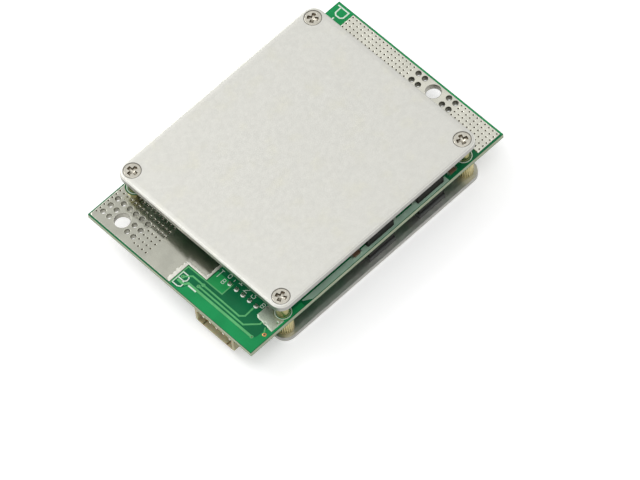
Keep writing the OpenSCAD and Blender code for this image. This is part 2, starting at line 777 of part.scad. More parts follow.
// One channel for each cell on the lower face: two resistors and a transistor.
module at_cells() {
    onto_face(false) for (i = [0:cell_n - 1])
        translate([cell_x, half_w - part_gap - (i + 0.5) * cell_pitch, 0]) children();
}

module at_balance() {
    at_cells() for (s = [-1, 1])
        translate([balance_l / 2, s * (balance_w + balance_gap) / 2, 0]) children();
}

module balance_resistors() {
    color("black") at_balance() chip_body(balance_l, balance_w, balance_h);
}

module balance_caps() {
    color("silver") at_balance() chip_ends(balance_l, balance_w, balance_h);
}

module at_sots() {
    at_cells() translate([cell_l - sot_reach - sot_w / 2, 0, 0]) children();
}

module balance_transistors() {
    color("black") at_sots() translate([-sot_w / 2, -sot_l / 2, chip_standoff])
        cube([sot_w, sot_l, sot_h]);
}

module balance_transistor_leads() {
    lead_y = sot_l / 2 - sot_lead_w;
    color("silver") at_sots() {
        for (y = [-lead_y, lead_y]) translate([-sot_w / 2, y, 0]) sot_lead();
        mirror([1, 0, 0]) translate([-sot_w / 2, 0, 0]) sot_lead();
    }
}

module sot_lead() {
    gull_lead(sot_reach, sot_reach / 2, sot_lead_w, chip_lead_t, sot_h / 2);
}

module control_chip() {
    color("black") onto_face(false)
        translate([chip_place[0] - chip_w / 2, chip_place[1] - chip_l / 2, chip_standoff])
            cube([chip_w, chip_l, chip_h]);
}

module control_chip_leads() {
    color("silver") onto_face(false) translate(chip_place)
        for (side = [0, 1], i = [0:chip_leads_n - 1]) mirror([side, 0, 0])
            translate([-chip_w / 2, (i - (chip_leads_n - 1) / 2) * chip_pitch, 0])
                gull_lead(chip_reach, chip_reach / 2, chip_lead_w, chip_lead_t, chip_h / 2);
}

// Filter capacitors in a row beside the control chip, one for each contact pin.
module at_filters() {
    onto_face(false) for (i = [0:pin_n - 1])
        translate([chip_place[0] + chip_w / 2 + chip_reach + part_gap + filter_l / 2,
            header_y + (i - (pin_n - 1) / 2) * pin_pitch, 0]) children();
}

module filter_capacitors() {
    color("peru") at_filters() chip_body(filter_l, filter_w, filter_h);
}

module filter_caps() {
    color("silver") at_filters() chip_ends(filter_l, filter_w, filter_h);
}

board();
battery_land();
load_land();
corner_patch();
top_plate();
bottom_plate();
top_screws();
bottom_screws();
upper_standoffs();
lower_standoffs();
header_housing();
header_pins();
header_solder();
upper_discharge_bodies();
upper_discharge_tabs();
upper_discharge_leads();
upper_charge_bodies();
upper_charge_tabs();
upper_charge_leads();
lower_discharge_bodies();
lower_discharge_tabs();
lower_discharge_leads();
lower_charge_bodies();
lower_charge_tabs();
lower_charge_leads();
upper_thermal_pads();
lower_thermal_pads();
upper_gate_resistors();
upper_gate_caps();
lower_gate_resistors();
lower_gate_caps();
sense_strips();
sense_feet();
balance_resistors();
balance_caps();
balance_transistors();
balance_transistor_leads();
control_chip();
control_chip_leads();
filter_capacitors();
filter_caps();
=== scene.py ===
"""Dressing and studio for a battery management board.

X runs from the battery end to the load end, Y towards the edge with the battery bolt
hole, Z up. Sizes are in millimetres and become metres when a mesh is made.
"""
import logging
import math
from dataclasses import dataclass
from enum import Enum
from functools import cache

import bmesh
import bpy
import numpy as np
from mathutils import Matrix, Vector
from mathutils.geometry import delaunay_2d_cdt


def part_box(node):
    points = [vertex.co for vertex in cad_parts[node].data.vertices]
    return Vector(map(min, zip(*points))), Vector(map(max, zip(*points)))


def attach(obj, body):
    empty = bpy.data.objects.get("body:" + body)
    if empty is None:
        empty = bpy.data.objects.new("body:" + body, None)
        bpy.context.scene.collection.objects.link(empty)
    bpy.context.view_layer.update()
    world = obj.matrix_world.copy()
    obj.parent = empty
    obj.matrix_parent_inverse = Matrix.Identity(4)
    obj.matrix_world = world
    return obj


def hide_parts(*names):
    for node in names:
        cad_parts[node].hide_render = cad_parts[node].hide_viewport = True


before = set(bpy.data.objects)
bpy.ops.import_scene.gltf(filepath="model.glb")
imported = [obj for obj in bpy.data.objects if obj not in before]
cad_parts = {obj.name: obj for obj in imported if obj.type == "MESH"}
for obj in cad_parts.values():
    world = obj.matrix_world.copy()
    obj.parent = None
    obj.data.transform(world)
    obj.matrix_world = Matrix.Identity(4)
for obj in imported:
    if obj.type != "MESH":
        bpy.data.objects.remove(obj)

LOG = logging.getLogger("board")
MM = 0.001
Array = np.ndarray
Colour = tuple[float, float, float]
Socket = bpy.types.NodeSocket


def box_mm(node: str) -> tuple[Array, Array]:
    """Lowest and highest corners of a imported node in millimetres."""
    low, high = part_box(node)
    return np.array(low) / MM, np.array(high) / MM


# ---- finishes ----


class Recipe:
    """The nodes of one material, on object coordinates in millimetres."""

    def __init__(self, name: str, roughness: float, metallic: float = 0.0) -> None:
        """Start a material around one principled shader.

        Args:
            name: Name of the material.
            roughness: Roughness set on the shader.
            metallic: Metalness set on the shader.
        """
        self.material = bpy.data.materials.new(name)
        self.material.use_nodes = True
        self.tree = self.material.node_tree
        self.shader = self.tree.nodes["Principled BSDF"]
        self.fix(Roughness=roughness, Metallic=metallic)
        place = self.node("ShaderNodeTexCoord").outputs["Object"]
        scale = self.node("ShaderNodeVectorMath", operation="SCALE")
        scale.inputs["Scale"].default_value = 1 / MM
        self.tree.links.new(place, scale.inputs[0])
        self.place = scale.outputs[0]
        self.relief: Socket | None = None

    def node(self, kind: str, **options: object) -> bpy.types.Node:
        """Add a node and set its options.

        Args:
            kind: Type of the node.
            options: Values of its properties.

        Returns:
            The node.
        """
        made = self.tree.nodes.new(kind)
        for key, value in options.items():
            setattr(made, key, value)
        return made

    def fix(self, **values: object) -> None:
        """Set constant values on the shader's own sockets, with _ for a space."""
        for key, value in values.items():
            self.shader.inputs[key.replace("_", " ")].default_value = value

    def feed(self, target: Socket, value: Socket | float | tuple) -> None:
        """Link a socket, or set a constant, on one input.

        Args:
            target: The input.
            value: The socket or constant that it takes.
        """
        if isinstance(value, Socket):
            self.tree.links.new(value, target)
        else:
            target.default_value = value

    def shade(self, name: str, value: Socket) -> None:
        """Link a varying value to one of the shader's sockets."""
        self.tree.links.new(value, self.shader.inputs[name])

    def calc(self, operation: str, a: Socket | float, b: Socket | float = 0.0,
             clamp: bool = False) -> Socket:
        """One step of arithmetic on two values.

        Args:
            operation: Name of the operation.
            a: First value.
            b: Second value.
            clamp: Whether the result stays between 0 and 1.

        Returns:
            The result.
        """
        made = self.node("ShaderNodeMath", operation=operation, use_clamp=clamp)
        self.feed(made.inputs[0], a)
        self.feed(made.inputs[1], b)
        return made.outputs[0]

    def ramp(self, value: Socket, low: float, high: float, start: float = 0.0,
             end: float = 1.0) -> Socket:
        """Map a value smoothly from low..high to start..end.

        Args:
            value: The value to map.
            low: Value that gives start.
            high: Value that gives end.
            start: Result at low.
            end: Result at high.

        Returns:
            The mapped value.
        """
        made = self.node("ShaderNodeMapRange", interpolation_type="SMOOTHSTEP")
        for index, item in enumerate((value, low, high, start, end)):
            self.feed(made.inputs[index], item)
        return made.outputs[0]

    def noise(self, size: float, detail: float = 3.0,
              stretch: tuple[float, float, float] = (1.0, 1.0, 1.0)) -> Socket:
        """Soft random pattern around 0.5.

        Args:
            size: Size of its largest features in millimetres.
            detail: How many finer layers it has.
            stretch: How much longer the features are along each axis.

        Returns:
            The pattern's value.
        """
        turn = self.node("ShaderNodeMapping")
        turn.inputs["Scale"].default_value = [1 / s for s in stretch]
        self.feed(turn.inputs["Vector"], self.place)
        made = self.node("ShaderNodeTexNoise")
        made.inputs["Scale"].default_value = 1 / size
        made.inputs["Detail"].default_value = detail
        self.feed(made.inputs["Vector"], turn.outputs[0])
        return made.outputs[0]

    def axis(self, index: int) -> Socket:
        """One of the object coordinates in millimetres."""
        made = self.node("ShaderNodeSeparateXYZ")
        self.feed(made.inputs[0], self.place)
        return made.outputs[index]

    def upright(self) -> Socket:
        """How level a face lies: 1 on a level face and 0 on an upright one."""
        made = self.node("ShaderNodeSeparateXYZ")
        self.feed(made.inputs[0], self.node("ShaderNodeNewGeometry").outputs["True Normal"])
        return self.calc("ABSOLUTE", made.outputs[2])

    def mix(self, share: Socket | float, a: Socket | Colour, b: Socket | Colour) -> Socket:
        """Blend two colours.

        Args:
            share: How much of the second colour shows.
            a: First colour.
            b: Second colour.

        Returns:
            The blended colour.
        """
        made = self.node("ShaderNodeMix", data_type="RGBA")
        self.feed(made.inputs[0], share)
        for socket, value in ((made.inputs[6], a), (made.inputs[7], b)):
            self.feed(socket, value if isinstance(value, Socket) else (*value, 1))
        return made.outputs[2]

    def bump(self, height: Socket, depth: float) -> None:
        """Add a relief to the surface, over any that it has.

        Args:
            height: Height of the relief, from 0 to 1.
            depth: Depth that it stands for, in millimetres.
        """
        made = self.node("ShaderNodeBump")
        made.inputs["Strength"].default_value = 1.0
        made.inputs["Distance"].default_value = depth * MM
        self.feed(made.inputs["Height"], height)
        if self.relief is not None:
            self.feed(made.inputs["Normal"], self.relief)
        self.relief = made.outputs[0]
        self.shade("Normal", self.relief)


def shaded(colour: Colour, factor: float) -> Colour:
    """The colour made darker or lighter by a factor."""
    return tuple(min(1.0, channel * factor) for channel in colour)


@dataclass(frozen=True)
class MetalFinish:
    """Bare or plated metal with a mottled tone, fine grain and shallow waves."""

    name: str
    colour: Colour
    roughness: float
    mottle: float = 0.05
    mottle_size: float = 2.5
    grain: float = 0.002
    grain_size: float = 0.12
    wave: float = 0.0
    wave_size: float = 3.0
    stretch: tuple[float, float, float] = (1.0, 1.0, 1.0)

    def material(self) -> bpy.types.Material:
        """Build the material: tone and roughness wander together over the metal."""
        make = Recipe(self.name, self.roughness, 1.0)
        patch = make.noise(self.mottle_size, 5.0, self.stretch)
        tone = make.ramp(patch, 0.3, 0.7)
        make.shade("Base Color", make.mix(tone, shaded(self.colour, 1 - self.mottle),
                                          shaded(self.colour, 1 + self.mottle)))
        make.shade("Roughness", make.ramp(make.noise(self.mottle_size / 2, 4.0, self.stretch),
                                          0.3, 0.7, self.roughness * 0.85,
                                          self.roughness * 1.15))
        make.bump(make.noise(self.grain_size, 2.0, self.stretch), self.grain)
        if self.wave:
            make.bump(make.noise(self.wave_size, 2.0), self.wave)
        return make.material


@dataclass(frozen=True)
class TinFinish:
    """Hot-levelled tin with shallow pools and pores."""

    name: str
    colour: Colour
    roughness: float
    pool: float = 0.0012
    pool_size: float = 3.5

    def material(self) -> bpy.types.Material:
        """Build the material: pools bend the reflection and pores dull it."""
        make = Recipe(self.name, self.roughness, 1.0)
        pores = make.ramp(make.noise(0.28, 5.0), 0.42, 0.66)
        cloud = make.ramp(make.noise(5.0, 4.0), 0.35, 0.65)
        tone = make.mix(cloud, shaded(self.colour, 0.94), shaded(self.colour, 1.05))
        tone = make.mix(make.calc("MULTIPLY", pores, 0.25), tone, shaded(self.colour, 0.75))
        make.shade("Base Color", tone)
        make.shade("Roughness", make.ramp(pores, 0.0, 1.0, self.roughness * 0.8,
                                          self.roughness * 1.6))
        make.bump(make.noise(self.pool_size, 1.5), self.pool)
        make.bump(make.noise(0.35, 3.0), 0.0025)
        return make.material


@dataclass(frozen=True)
class PlateFinish:
    """Blasted cover plate: faint stains and grain on its faces; saw lines and a darker colour,
    painted shade, on its sides.
    """

    name: str
    colour: Colour
    side: Colour
    roughness: float
    middle_x: float = 1.3
    half_x: float = 37.1
    half_y: float = 32.0
    sag: float = 0.09
    sag_reach: float = 1.7

    def material(self) -> bpy.types.Material:
        """Build the material: its relief falls away smoothly towards the sheared edges, and a
        thin band at the +X end is darkened as painted shade.
        """
        make = Recipe(self.name, self.roughness, 1.0)
        warm = tuple(c * k for c, k in zip(self.colour, (1.0, 0.99, 0.9)))
        stain = make.ramp(make.noise(5.5, 4.0), 0.5, 0.72)
        tone = make.mix(make.calc("MULTIPLY", stain, 0.55), self.colour, warm)
        fine = make.ramp(make.noise(0.35, 6.0), 0.3, 0.7)
        tone = make.mix(make.calc("MULTIPLY", fine, 0.5), tone, shaded(self.colour, 0.90))
        cloud = make.ramp(make.noise(1.8, 5.0), 0.3, 0.75)
        tone = make.mix(make.calc("MULTIPLY", cloud, 0.5), tone, shaded(self.colour, 0.93))
        end = self.middle_x + self.half_x
        # Painted shade: a dark band within half a millimetre of the +X end stands in for the
        # shadow line along that edge.
        painted_edge_shade = make.ramp(make.axis(0), end - 0.45, end - 0.1, 0.0, 0.6)
        tone = make.mix(painted_edge_shade, tone, shaded(self.colour, 0.35))
        # Painted shade: upright faces take the darker side colour so the sides read as shaded;
        # the saw lines on them are real texture.
        saw = make.ramp(make.noise(0.12, 3.0, (16.0, 16.0, 1.0)), 0.3, 0.7)
        side = make.mix(saw, shaded(self.side, 0.8), shaded(self.side, 1.1))
        level = make.ramp(make.upright(), 0.08, 0.4)
        make.shade("Base Color", make.mix(level, side, tone))
        make.shade("Roughness", make.ramp(make.noise(1.2, 4.0), 0.3, 0.7,
                                          self.roughness * 0.93, self.roughness * 1.07))
        across = make.calc("ABSOLUTE", make.calc("SUBTRACT", make.axis(0), self.middle_x))
        to_x = make.calc("SUBTRACT", self.half_x, across)
        to_y = make.calc("SUBTRACT", self.half_y, make.calc("ABSOLUTE", make.axis(1)))
        make.bump(make.ramp(make.calc("MINIMUM", to_x, to_y), 0.0, self.sag_reach), self.sag)
        make.bump(make.noise(0.18, 3.0), 0.0022)
        return make.material


@dataclass(frozen=True)
class ScrewFinish:
    """Nickel plating, coloured darker and duller on the walls of its recesses."""

    name: str
    colour: Colour
    recess_colour: Colour
    roughness: float
    middle: float = 8.8
    reach: float = 8.75
    depth: float = 0.3

    def material(self) -> bpy.types.Material:
        """Build the material: the darker colour is strongest on the walls of a recess."""
        make = Recipe(self.name, self.roughness, 1.0)
        away = make.calc("ABSOLUTE", make.calc("SUBTRACT", make.axis(2), self.middle))
        below = make.calc("SUBTRACT", self.reach, away)
        # Darker, duller colour on the recess walls, easing off further down.
        sunk_depth = make.calc("ADD", below, make.calc("MULTIPLY", make.noise(0.3, 3.0), 0.12))
        share = make.calc("SUBTRACT", make.ramp(sunk_depth, 0.08, self.depth),
                          make.ramp(sunk_depth, self.depth + 0.15, self.depth + 0.5, 0.0, 0.75))
        cloud = make.ramp(make.noise(0.9, 4.0), 0.3, 0.7)
        tone = make.mix(cloud, shaded(self.colour, 0.9), shaded(self.colour, 1.08))
        make.shade("Base Color", make.mix(share, tone, self.recess_colour))
        make.shade("Roughness", make.ramp(share, 0.0, 1.0, self.roughness,
                                          self.roughness + 0.25))
        make.bump(make.noise(0.15, 2.0), 0.003)
        return make.material


@dataclass(frozen=True)
class MouldedFinish:
    """Moulded plastic, epoxy, ceramic or silicone with fine speckle and grain."""

    name: str
    colour: Colour
    roughness: float
    speckle: float = 0.12
    speckle_size: float = 0.25
    grain: float = 0.004
    grain_size: float = 0.2
    specular: float = 0.5
    depth: float = 0.0

    def material(self) -> bpy.types.Material:
        """Build the material: filler speckle over a slow change of tone."""
        make = Recipe(self.name, self.roughness)
        make.fix(Specular_IOR_Level=self.specular)
        if self.depth:
            make.fix(Subsurface_Weight=0.35, Subsurface_Scale=self.depth * MM)
        slow = make.ramp(make.noise(4.0, 3.0), 0.3, 0.7)
        fine = make.ramp(make.noise(self.speckle_size, 3.0), 0.55, 0.72)
        tone = make.mix(slow, shaded(self.colour, 0.92), shaded(self.colour, 1.08))
        tone = make.mix(make.calc("MULTIPLY", fine, self.speckle), tone,
                        shaded(self.colour, 2.2))
        make.shade("Base Color", tone)
        make.shade("Roughness", make.ramp(make.noise(0.8, 3.0), 0.3, 0.7,
                                          self.roughness * 0.85, self.roughness * 1.12))
        make.bump(make.noise(self.grain_size, 3.0), self.grain)
        return make.material


@dataclass(frozen=True)
class MaskFinish:
    """Glossy solder mask on level faces, bare glass laminate on the cut sides."""

    name: str
    colour: Colour
    laminate: Colour = (0.42, 0.46, 0.33)
    roughness: float = 0.2
    board_low: float = 8.0
    board_high: float = 9.6

    def material(self) -> bpy.types.Material:
        """Build the material: the sides show cloth layers between two mask lines."""
        make = Recipe(self.name, self.roughness)
        make.fix(Specular_IOR_Level=0.12)
        cloud = make.ramp(make.noise(7.0, 4.0), 0.3, 0.7)
        face = make.mix(cloud, shaded(self.colour, 0.9), shaded(self.colour, 1.12))
        pits = make.ramp(make.noise(0.22, 2.0), 0.6, 0.75)
        face = make.mix(make.calc("MULTIPLY", pits, 0.18), face, shaded(self.colour, 0.6))
        layer = make.noise(0.22, 3.0, (14.0, 14.0, 1.0))
        side = make.mix(make.ramp(layer, 0.35, 0.65), shaded(self.laminate, 0.78), self.laminate)
        height = make.axis(2)
        near_top = make.ramp(height, self.board_high - 0.2, self.board_high - 0.08)
        near_low = make.ramp(height, self.board_low + 0.2, self.board_low + 0.08)
        side = make.mix(make.calc("MAXIMUM", near_top, near_low), side, shaded(self.colour, 0.8))
        level = make.ramp(make.upright(), 0.3, 0.6)
        make.shade("Base Color", make.mix(level, side, face))
        make.shade("Roughness", make.ramp(level, 0.0, 1.0, 0.6, self.roughness))
        make.bump(make.noise(0.5, 3.0), 0.003)
        make.bump(make.noise(6.0, 1.0), 0.02)
        return make.material


@dataclass(frozen=True)
class InkFinish:
    """Printed ink with a slightly broken edge and uneven cover."""

    name: str
    colour: Colour
    ground: Colour

    def material(self) -> bpy.types.Material:
        """Build the material: the ground shows faintly through thin ink."""
        make = Recipe(self.name, 0.5)
        thin = make.ramp(make.noise(0.3, 4.0), 0.5, 0.8, 0.0, 0.55)
        make.shade("Base Color", make.mix(thin, self.colour, self.ground))
        make.shade("Roughness", make.ramp(make.noise(0.5, 2.0), 0.3, 0.7, 0.42, 0.6))
        make.bump(make.noise(0.15, 2.0), 0.002)
        return make.material


class Finishes(Enum):
    """The finishes of the board's pieces."""

    # The plate's second colour is a darker copy of its face colour, painted shade for the upright
    # sides.
    PLATE = PlateFinish("plate_aluminium", (0.74, 0.735, 0.685), (0.44, 0.435, 0.41), 0.42)
    NICKEL = ScrewFinish("nickel_screw", (0.70, 0.67, 0.58), (0.10, 0.075, 0.045), 0.24)
    # Painted shade: dark colour for the rings that stand in for the shadow in the gap round each
    # screw head.
    GAP_SHADE = MouldedFinish("painted_ring_shade", (0.17, 0.16, 0.14), 0.6, 0.1, 0.1, specular=0.1)
    # Painted shade: the hole linings, lips included, are darker copies of the tin so the holes
    # read as shaded inside.
    FEED_LINING_SHADE = MetalFinish("feed_lining_painted_shade", (0.20, 0.195, 0.16), 0.45, 0.15, 0.5, 0.004, 0.1)
    PALE_LINING_SHADE = MetalFinish("pale_lining_painted_shade", (0.38, 0.375, 0.32), 0.4, 0.15, 0.5, 0.004, 0.1)
    BOLT_LINING_SHADE = MetalFinish("bolt_lining_painted_shade", (0.42, 0.41, 0.36), 0.4, 0.1, 0.8, 0.004, 0.1)
    BRASS = MetalFinish("plain_brass", (0.40, 0.37, 0.17), 0.24, 0.08, 1.2, 0.004, 0.1,
                        stretch=(8.0, 8.0, 1.0))
    KNURLED = MetalFinish("knurled_brass", (0.56, 0.49, 0.25), 0.2, 0.12, 1.0, 0.004, 0.12)
    TINNED_LEAD = MetalFinish("tinned_lead", (0.62, 0.62, 0.59), 0.3, 0.06, 1.0, 0.003, 0.1)
    PIN = MetalFinish("tinned_pin", (0.78, 0.76, 0.70), 0.22, 0.05, 1.0, 0.002, 0.1)
    SOLDER = MetalFinish("solder", (0.70, 0.70, 0.66), 0.16, 0.06, 0.6, 0.003, 0.2, 0.01, 0.8)
    CHIP_END = MetalFinish("chip_end", (0.72, 0.72, 0.68), 0.28, 0.06, 0.5, 0.004, 0.12)
    RUN = MetalFinish("solder_run", (0.74, 0.73, 0.66), 0.5, 0.08, 0.7, 0.006, 0.25, 0.01, 0.9)
    COPPER_RING = MetalFinish("copper_ring", (0.72, 0.33, 0.14), 0.3, 0.1, 0.5)
    # Painted shade: the battery land's tin is a darker copy of the load land's tin, standing in
    # for its dimmer reflections.
    SHADED_BATTERY_TIN = TinFinish("battery_tin_painted_shade", (0.57, 0.57, 0.49), 0.17)
    LOAD_TIN = TinFinish("load_tin", (0.80, 0.79, 0.69), 0.22)
    PATCH = TinFinish("solder_patch", (0.54, 0.60, 0.50), 0.5, 0.02, 1.6)
    MASK = MaskFinish("solder_mask", (0.007, 0.140, 0.052))
    POUR = MaskFinish("mask_over_copper", (0.012, 0.26, 0.080))
    BRIGHT_POUR = MaskFinish("mask_over_bright_copper", (0.02, 0.30, 0.085))
    EDGE_POUR = MaskFinish("mask_over_edge_copper", (0.36, 0.52, 0.41), roughness=0.3)
    TRACE = MaskFinish("mask_over_trace", (0.11, 0.42, 0.16))
    INK = InkFinish("silk_ink", (0.66, 0.76, 0.66), (0.10, 0.35, 0.16))
    NYLON = MouldedFinish("header_nylon", (0.34, 0.31, 0.17), 0.42, 0.1, 0.4, 0.004, 0.3,
                          depth=0.6)
    EPOXY = MouldedFinish("moulded_black", (0.013, 0.013, 0.011), 0.55, 0.3, 0.14, 0.008, 0.16,
                          specular=0.1)
    PAD = MouldedFinish("thermal_pad", (0.055, 0.058, 0.055), 0.75, 0.3, 0.2, 0.01, 0.3)
    CHIP_BROWN = MouldedFinish("chip_brown", (0.13, 0.075, 0.045), 0.4, 0.3, 0.1)
    CHIP_BLACK = MouldedFinish("chip_black", (0.02, 0.02, 0.022), 0.3, 0.2, 0.1)
    # Painted shade: dark colour for discs that stand in for the darkness down narrow holes.
    VIA_SHADE = MouldedFinish("via_painted_shade", (0.10, 0.085, 0.06), 0.6, 0.1, 0.1, specular=0.1)


@cache
def material_of(finish: Finishes) -> bpy.types.Material:
    """The material of a finish, made once."""
    return finish.value.material()


# ---- surfaces ----


class Shell:
    """Closed surfaces gathered into one mesh, in millimetres."""

    def __init__(self) -> None:
        """Start with no surface."""
        self.points: list[Array] = []
        self.faces: list[list[int]] = []
        self.count = 0

    def add(self, points: Array, faces: Array) -> None:
        """Append points and the faces that join them.

        Args:
            points: Points, with their last axis of length 3.
            faces: Point numbers of each face.
        """
        flat = points.reshape(-1, 3)
        self.points.append(flat)
        self.faces += (faces + self.count).tolist()
        self.count += len(flat)

    def grid(self, points: Array, around: bool = True) -> None:
        """Append a surface of two parameters.

        Args:
            points: Its points, as rows by columns by 3.
            around: Whether the last column joins the first.
        """
        index = np.arange(points.shape[0] * points.shape[1]).reshape(points.shape[:2])
        if around:
            index = np.concatenate([index, index[:, :1]], axis=1)
        self.add(points, np.stack([index[:-1, :-1], index[1:, :-1], index[1:, 1:],
                                   index[:-1, 1:]], axis=-1).reshape(-1, 4))

    def revolve(self, profile: Array, places: Array, turns: int) -> None:
        """Turn a profile about upright axes: x = place + r cos t, y = place + r sin t.

        Args:
            profile: Rows of radius and height.
            places: Rows of x and y, one for each axis.
            turns: Number of steps around.
        """
        angle = np.linspace(0, 2 * np.pi, turns, endpoint=False)
        ring = np.stack([np.cos(angle), np.sin(angle)], axis=-1)
        level = np.broadcast_to(profile[:, None, 1:], (len(profile), turns, 1))
        for place in places:
            flat = profile[:, None, :1] * ring[None] + place
            self.grid(np.concatenate([flat, level], axis=-1))

    def sweep(self, path: Array, section: Array, closed: bool = False) -> None:
        """Carry a section along a level path, mitred at its corners.

        The point of step i and section point j is path_i + offset_j * miter_i, at
        height_j, where miter_i halves the angle between the steps that meet there.

        Args:
            path: Rows of x and y.
            section: Rows of sideways offset and height, around the section.
            closed: Whether the path returns to its start.
        """
        step = np.roll(path, -1, axis=0) - path
        step /= np.linalg.norm(step, axis=1, keepdims=True)
        before = np.roll(step, 1, axis=0)
        if not closed:
            step[-1], before[0] = before[-1], step[0]
        side, side_before = (np.stack([-s[:, 1], s[:, 0]], axis=-1) for s in (step, before))
        miter = side + side_before
        miter /= np.maximum((miter * side).sum(axis=1, keepdims=True), 0.3)
        flat = path[:, None] + section[None, :, :1] * miter[:, None]
        level = np.broadcast_to(section[None, :, 1:], (*flat.shape[:2], 1))
        points = np.concatenate([flat, level], axis=-1)
        if closed:
            self.grid(np.concatenate([points, points[:1]]))
        else:
            self.grid(points)
            for end in (points[0], points[-1]):
                self.add(end, np.arange(len(section))[None])

    def piece(self, name: str, finish: Finishes, slot: str, *replaced: str,
              crease: float = 40.0) -> bpy.types.Object:
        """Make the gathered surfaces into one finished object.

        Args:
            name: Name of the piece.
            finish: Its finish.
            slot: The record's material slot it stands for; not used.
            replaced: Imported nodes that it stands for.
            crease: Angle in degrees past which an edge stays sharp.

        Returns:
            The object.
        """
        mesh = bpy.data.meshes.new(name)
        mesh.from_pydata((np.concatenate(self.points) * MM).tolist(), [], self.faces)
        work = bmesh.new()
        work.from_mesh(mesh)
        bmesh.ops.remove_doubles(work, verts=work.verts, dist=1e-7)
        bmesh.ops.recalc_face_normals(work, faces=work.faces)
        work.to_mesh(mesh)
        work.free()
        mesh.shade_smooth()
        mesh.set_sharp_from_angle(angle=math.radians(crease))
        mesh.materials.append(material_of(finish))
        made = bpy.data.objects.new(name, mesh)
        bpy.context.scene.collection.objects.link(made)
        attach(made, "root")
        if replaced:
            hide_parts(*replaced)
        LOG.info("%s: %d faces", name, len(mesh.polygons))
        return made


@dataclass
class Layer:
    """A thin layer with a soft edge, cut by round holes.

    Its upper surface is z = base + rise * (sill + (1 - sill) * sqrt(1 - (1 - d)^2)),
    where d is the distance from the nearest edge as a share of the soft width.
    """

    outline: Array
    holes: Array
    base: float
    rise: float
    soft: float = 0.18
    sill: float = 0.5
    step: float = 0.6

    def loops(self) -> list[tuple[Array, Array]]:
        """Lay points along the outline and round each hole.

        Returns:
            For each closed line its points and their directions into the layer.
        """
        start, end = self.outline, np.roll(self.outline, -1, axis=0)
        found = []
        points, normals = [], []
        for a, b in zip(start, end):
            length = np.linalg.norm(b - a)
            share = np.linspace(0, 1, max(2, round(length / self.step) + 1))[:-1, None]
            points.append(a + share * (b - a))
            normals.append(np.tile(np.array([a[1] - b[1], b[0] - a[0]]) / length,
                                   (len(share), 1)))
        found.append((np.concatenate(points), np.concatenate(normals)))
        for x, y, r in self.holes:
            turns = 12 if r < 0.5 else 40
            angle = np.linspace(0, 2 * np.pi, turns, endpoint=False)
            ring = np.stack([np.cos(angle), np.sin(angle)], axis=-1)
            found.append((np.array([x, y]) + r * ring, ring))
        return found

    def distance(self, points: Array) -> Array:
        """Distance of each point from the nearest edge.

        Args:
            points: Rows of x and y.

        Returns:
            One distance for each row.
        """
        start, end = self.outline, np.roll(self.outline, -1, axis=0)
        run = end - start
        away = points[:, None] - start
        share = np.clip((away * run).sum(-1) / (run * run).sum(-1), 0, 1)
        near = np.linalg.norm(away - share[..., None] * run, axis=-1).min(axis=1)
        if len(self.holes):
            ring = np.linalg.norm(points[:, None] - self.holes[:, :2], axis=-1)
            near = np.minimum(near, np.abs(ring - self.holes[:, 2]).min(axis=1))
        return near

    def inside(self, points: Array) -> Array:
        """Whether each point lies within the outline and outside every hole.

        Args:
            points: Rows of x and y.

        Returns:
            One answer for each row.
        """
        start, end = self.outline, np.roll(self.outline, -1, axis=0)
        x, y = points[:, :1], points[:, 1:]
        spans = (start[:, 1] > y) != (end[:, 1] > y)
        rise = np.where(end[:, 1] == start[:, 1], 1.0, end[:, 1] - start[:, 1])
        cross = start[:, 0] + (y - start[:, 1]) / rise * (end[:, 0] - start[:, 0])
        kept = (spans & (x < cross)).sum(axis=1) % 2 == 1
        if len(self.holes):
            ring = np.linalg.norm(points[:, None] - self.holes[:, :2], axis=-1)
            kept &= (ring > self.holes[:, 2]).all(axis=1)
        return kept

    def add_to(self, shell: Shell, mirror_at: float | None = None) -> None:
        """Append the layer, closed below, to a shell.

        Args:
            shell: Where it goes.
            mirror_at: Height to mirror a second copy at, or None for one copy.
        """
        points: list[Array] = []
        edges: list[tuple[int, int]] = []
        count = 0
        for line, inward in self.loops():
            number = np.arange(len(line)) + count
            edges += list(zip(number.tolist(), np.roll(number, -1).tolist()))
            points.append(line)
            count += len(line)
            for share in (0.2, 0.5, 1.0):
                inner = line + inward * self.soft * share
                kept = inner[self.inside(inner)
                             & (self.distance(inner) > self.soft * share * 0.9)]
                points.append(kept)
                count += len(kept)
        flat = np.concatenate(points)
        made = delaunay_2d_cdt([Vector(p) for p in flat.tolist()], edges, [], 0, 1e-5)
        spots = np.array([list(v) for v in made[0]])
        tris = np.array(made[2])
        tris = tris[self.inside(spots[tris].mean(axis=1))]
        used, tris = np.unique(tris, return_inverse=True)
        tris, spots = tris.reshape(-1, 3), spots[used]
        share = np.clip(self.distance(spots) / self.soft, 0, 1)
        lift = self.sill + (1 - self.sill) * np.sqrt(1 - (1 - share) ** 2)
        sides = np.concatenate([tris[:, [0, 1]], tris[:, [1, 2]], tris[:, [2, 0]]])
        _, first, times = np.unique(np.sort(sides, axis=1), axis=0, return_index=True,
                                    return_counts=True)
        rim = sides[first[times == 1]]
        number = len(spots)
        walls = np.stack([rim[:, 1], rim[:, 0], rim[:, 0] + number, rim[:, 1] + number], -1)
        for flip in (False, True) if mirror_at is not None else (False,):
            top = self.base + self.rise * lift
            low = np.full(number, self.base)
            if flip:
                top, low = 2 * mirror_at - top, 2 * mirror_at - low
            both = np.concatenate([np.column_stack([spots, top]), np.column_stack([spots, low])])
            shell.add(both, tris)
            start = shell.count - len(both)
            shell.faces += (tris[:, ::-1] + number + start).tolist()
            shell.faces += (walls + start).tolist()


def corners(low: Array, high: Array) -> Array:
    """The four corners of a level rectangle, counterclockwise."""
    return np.array([[low[0], low[1]], [high[0], low[1]], [high[0], high[1]], [low[0], high[1]]])


def flat_band(width: float, base: float, rise: float) -> Array:
    """Section of a flat printed or masked line with softened shoulders."""
    half = width / 2
    return np.array([[-half, base], [-half * 0.92, base + rise * 0.8], [-half * 0.7, base + rise],
                     [half * 0.7, base + rise], [half * 0.92, base + rise * 0.8], [half, base]])


# ---- sub-assemblies ----


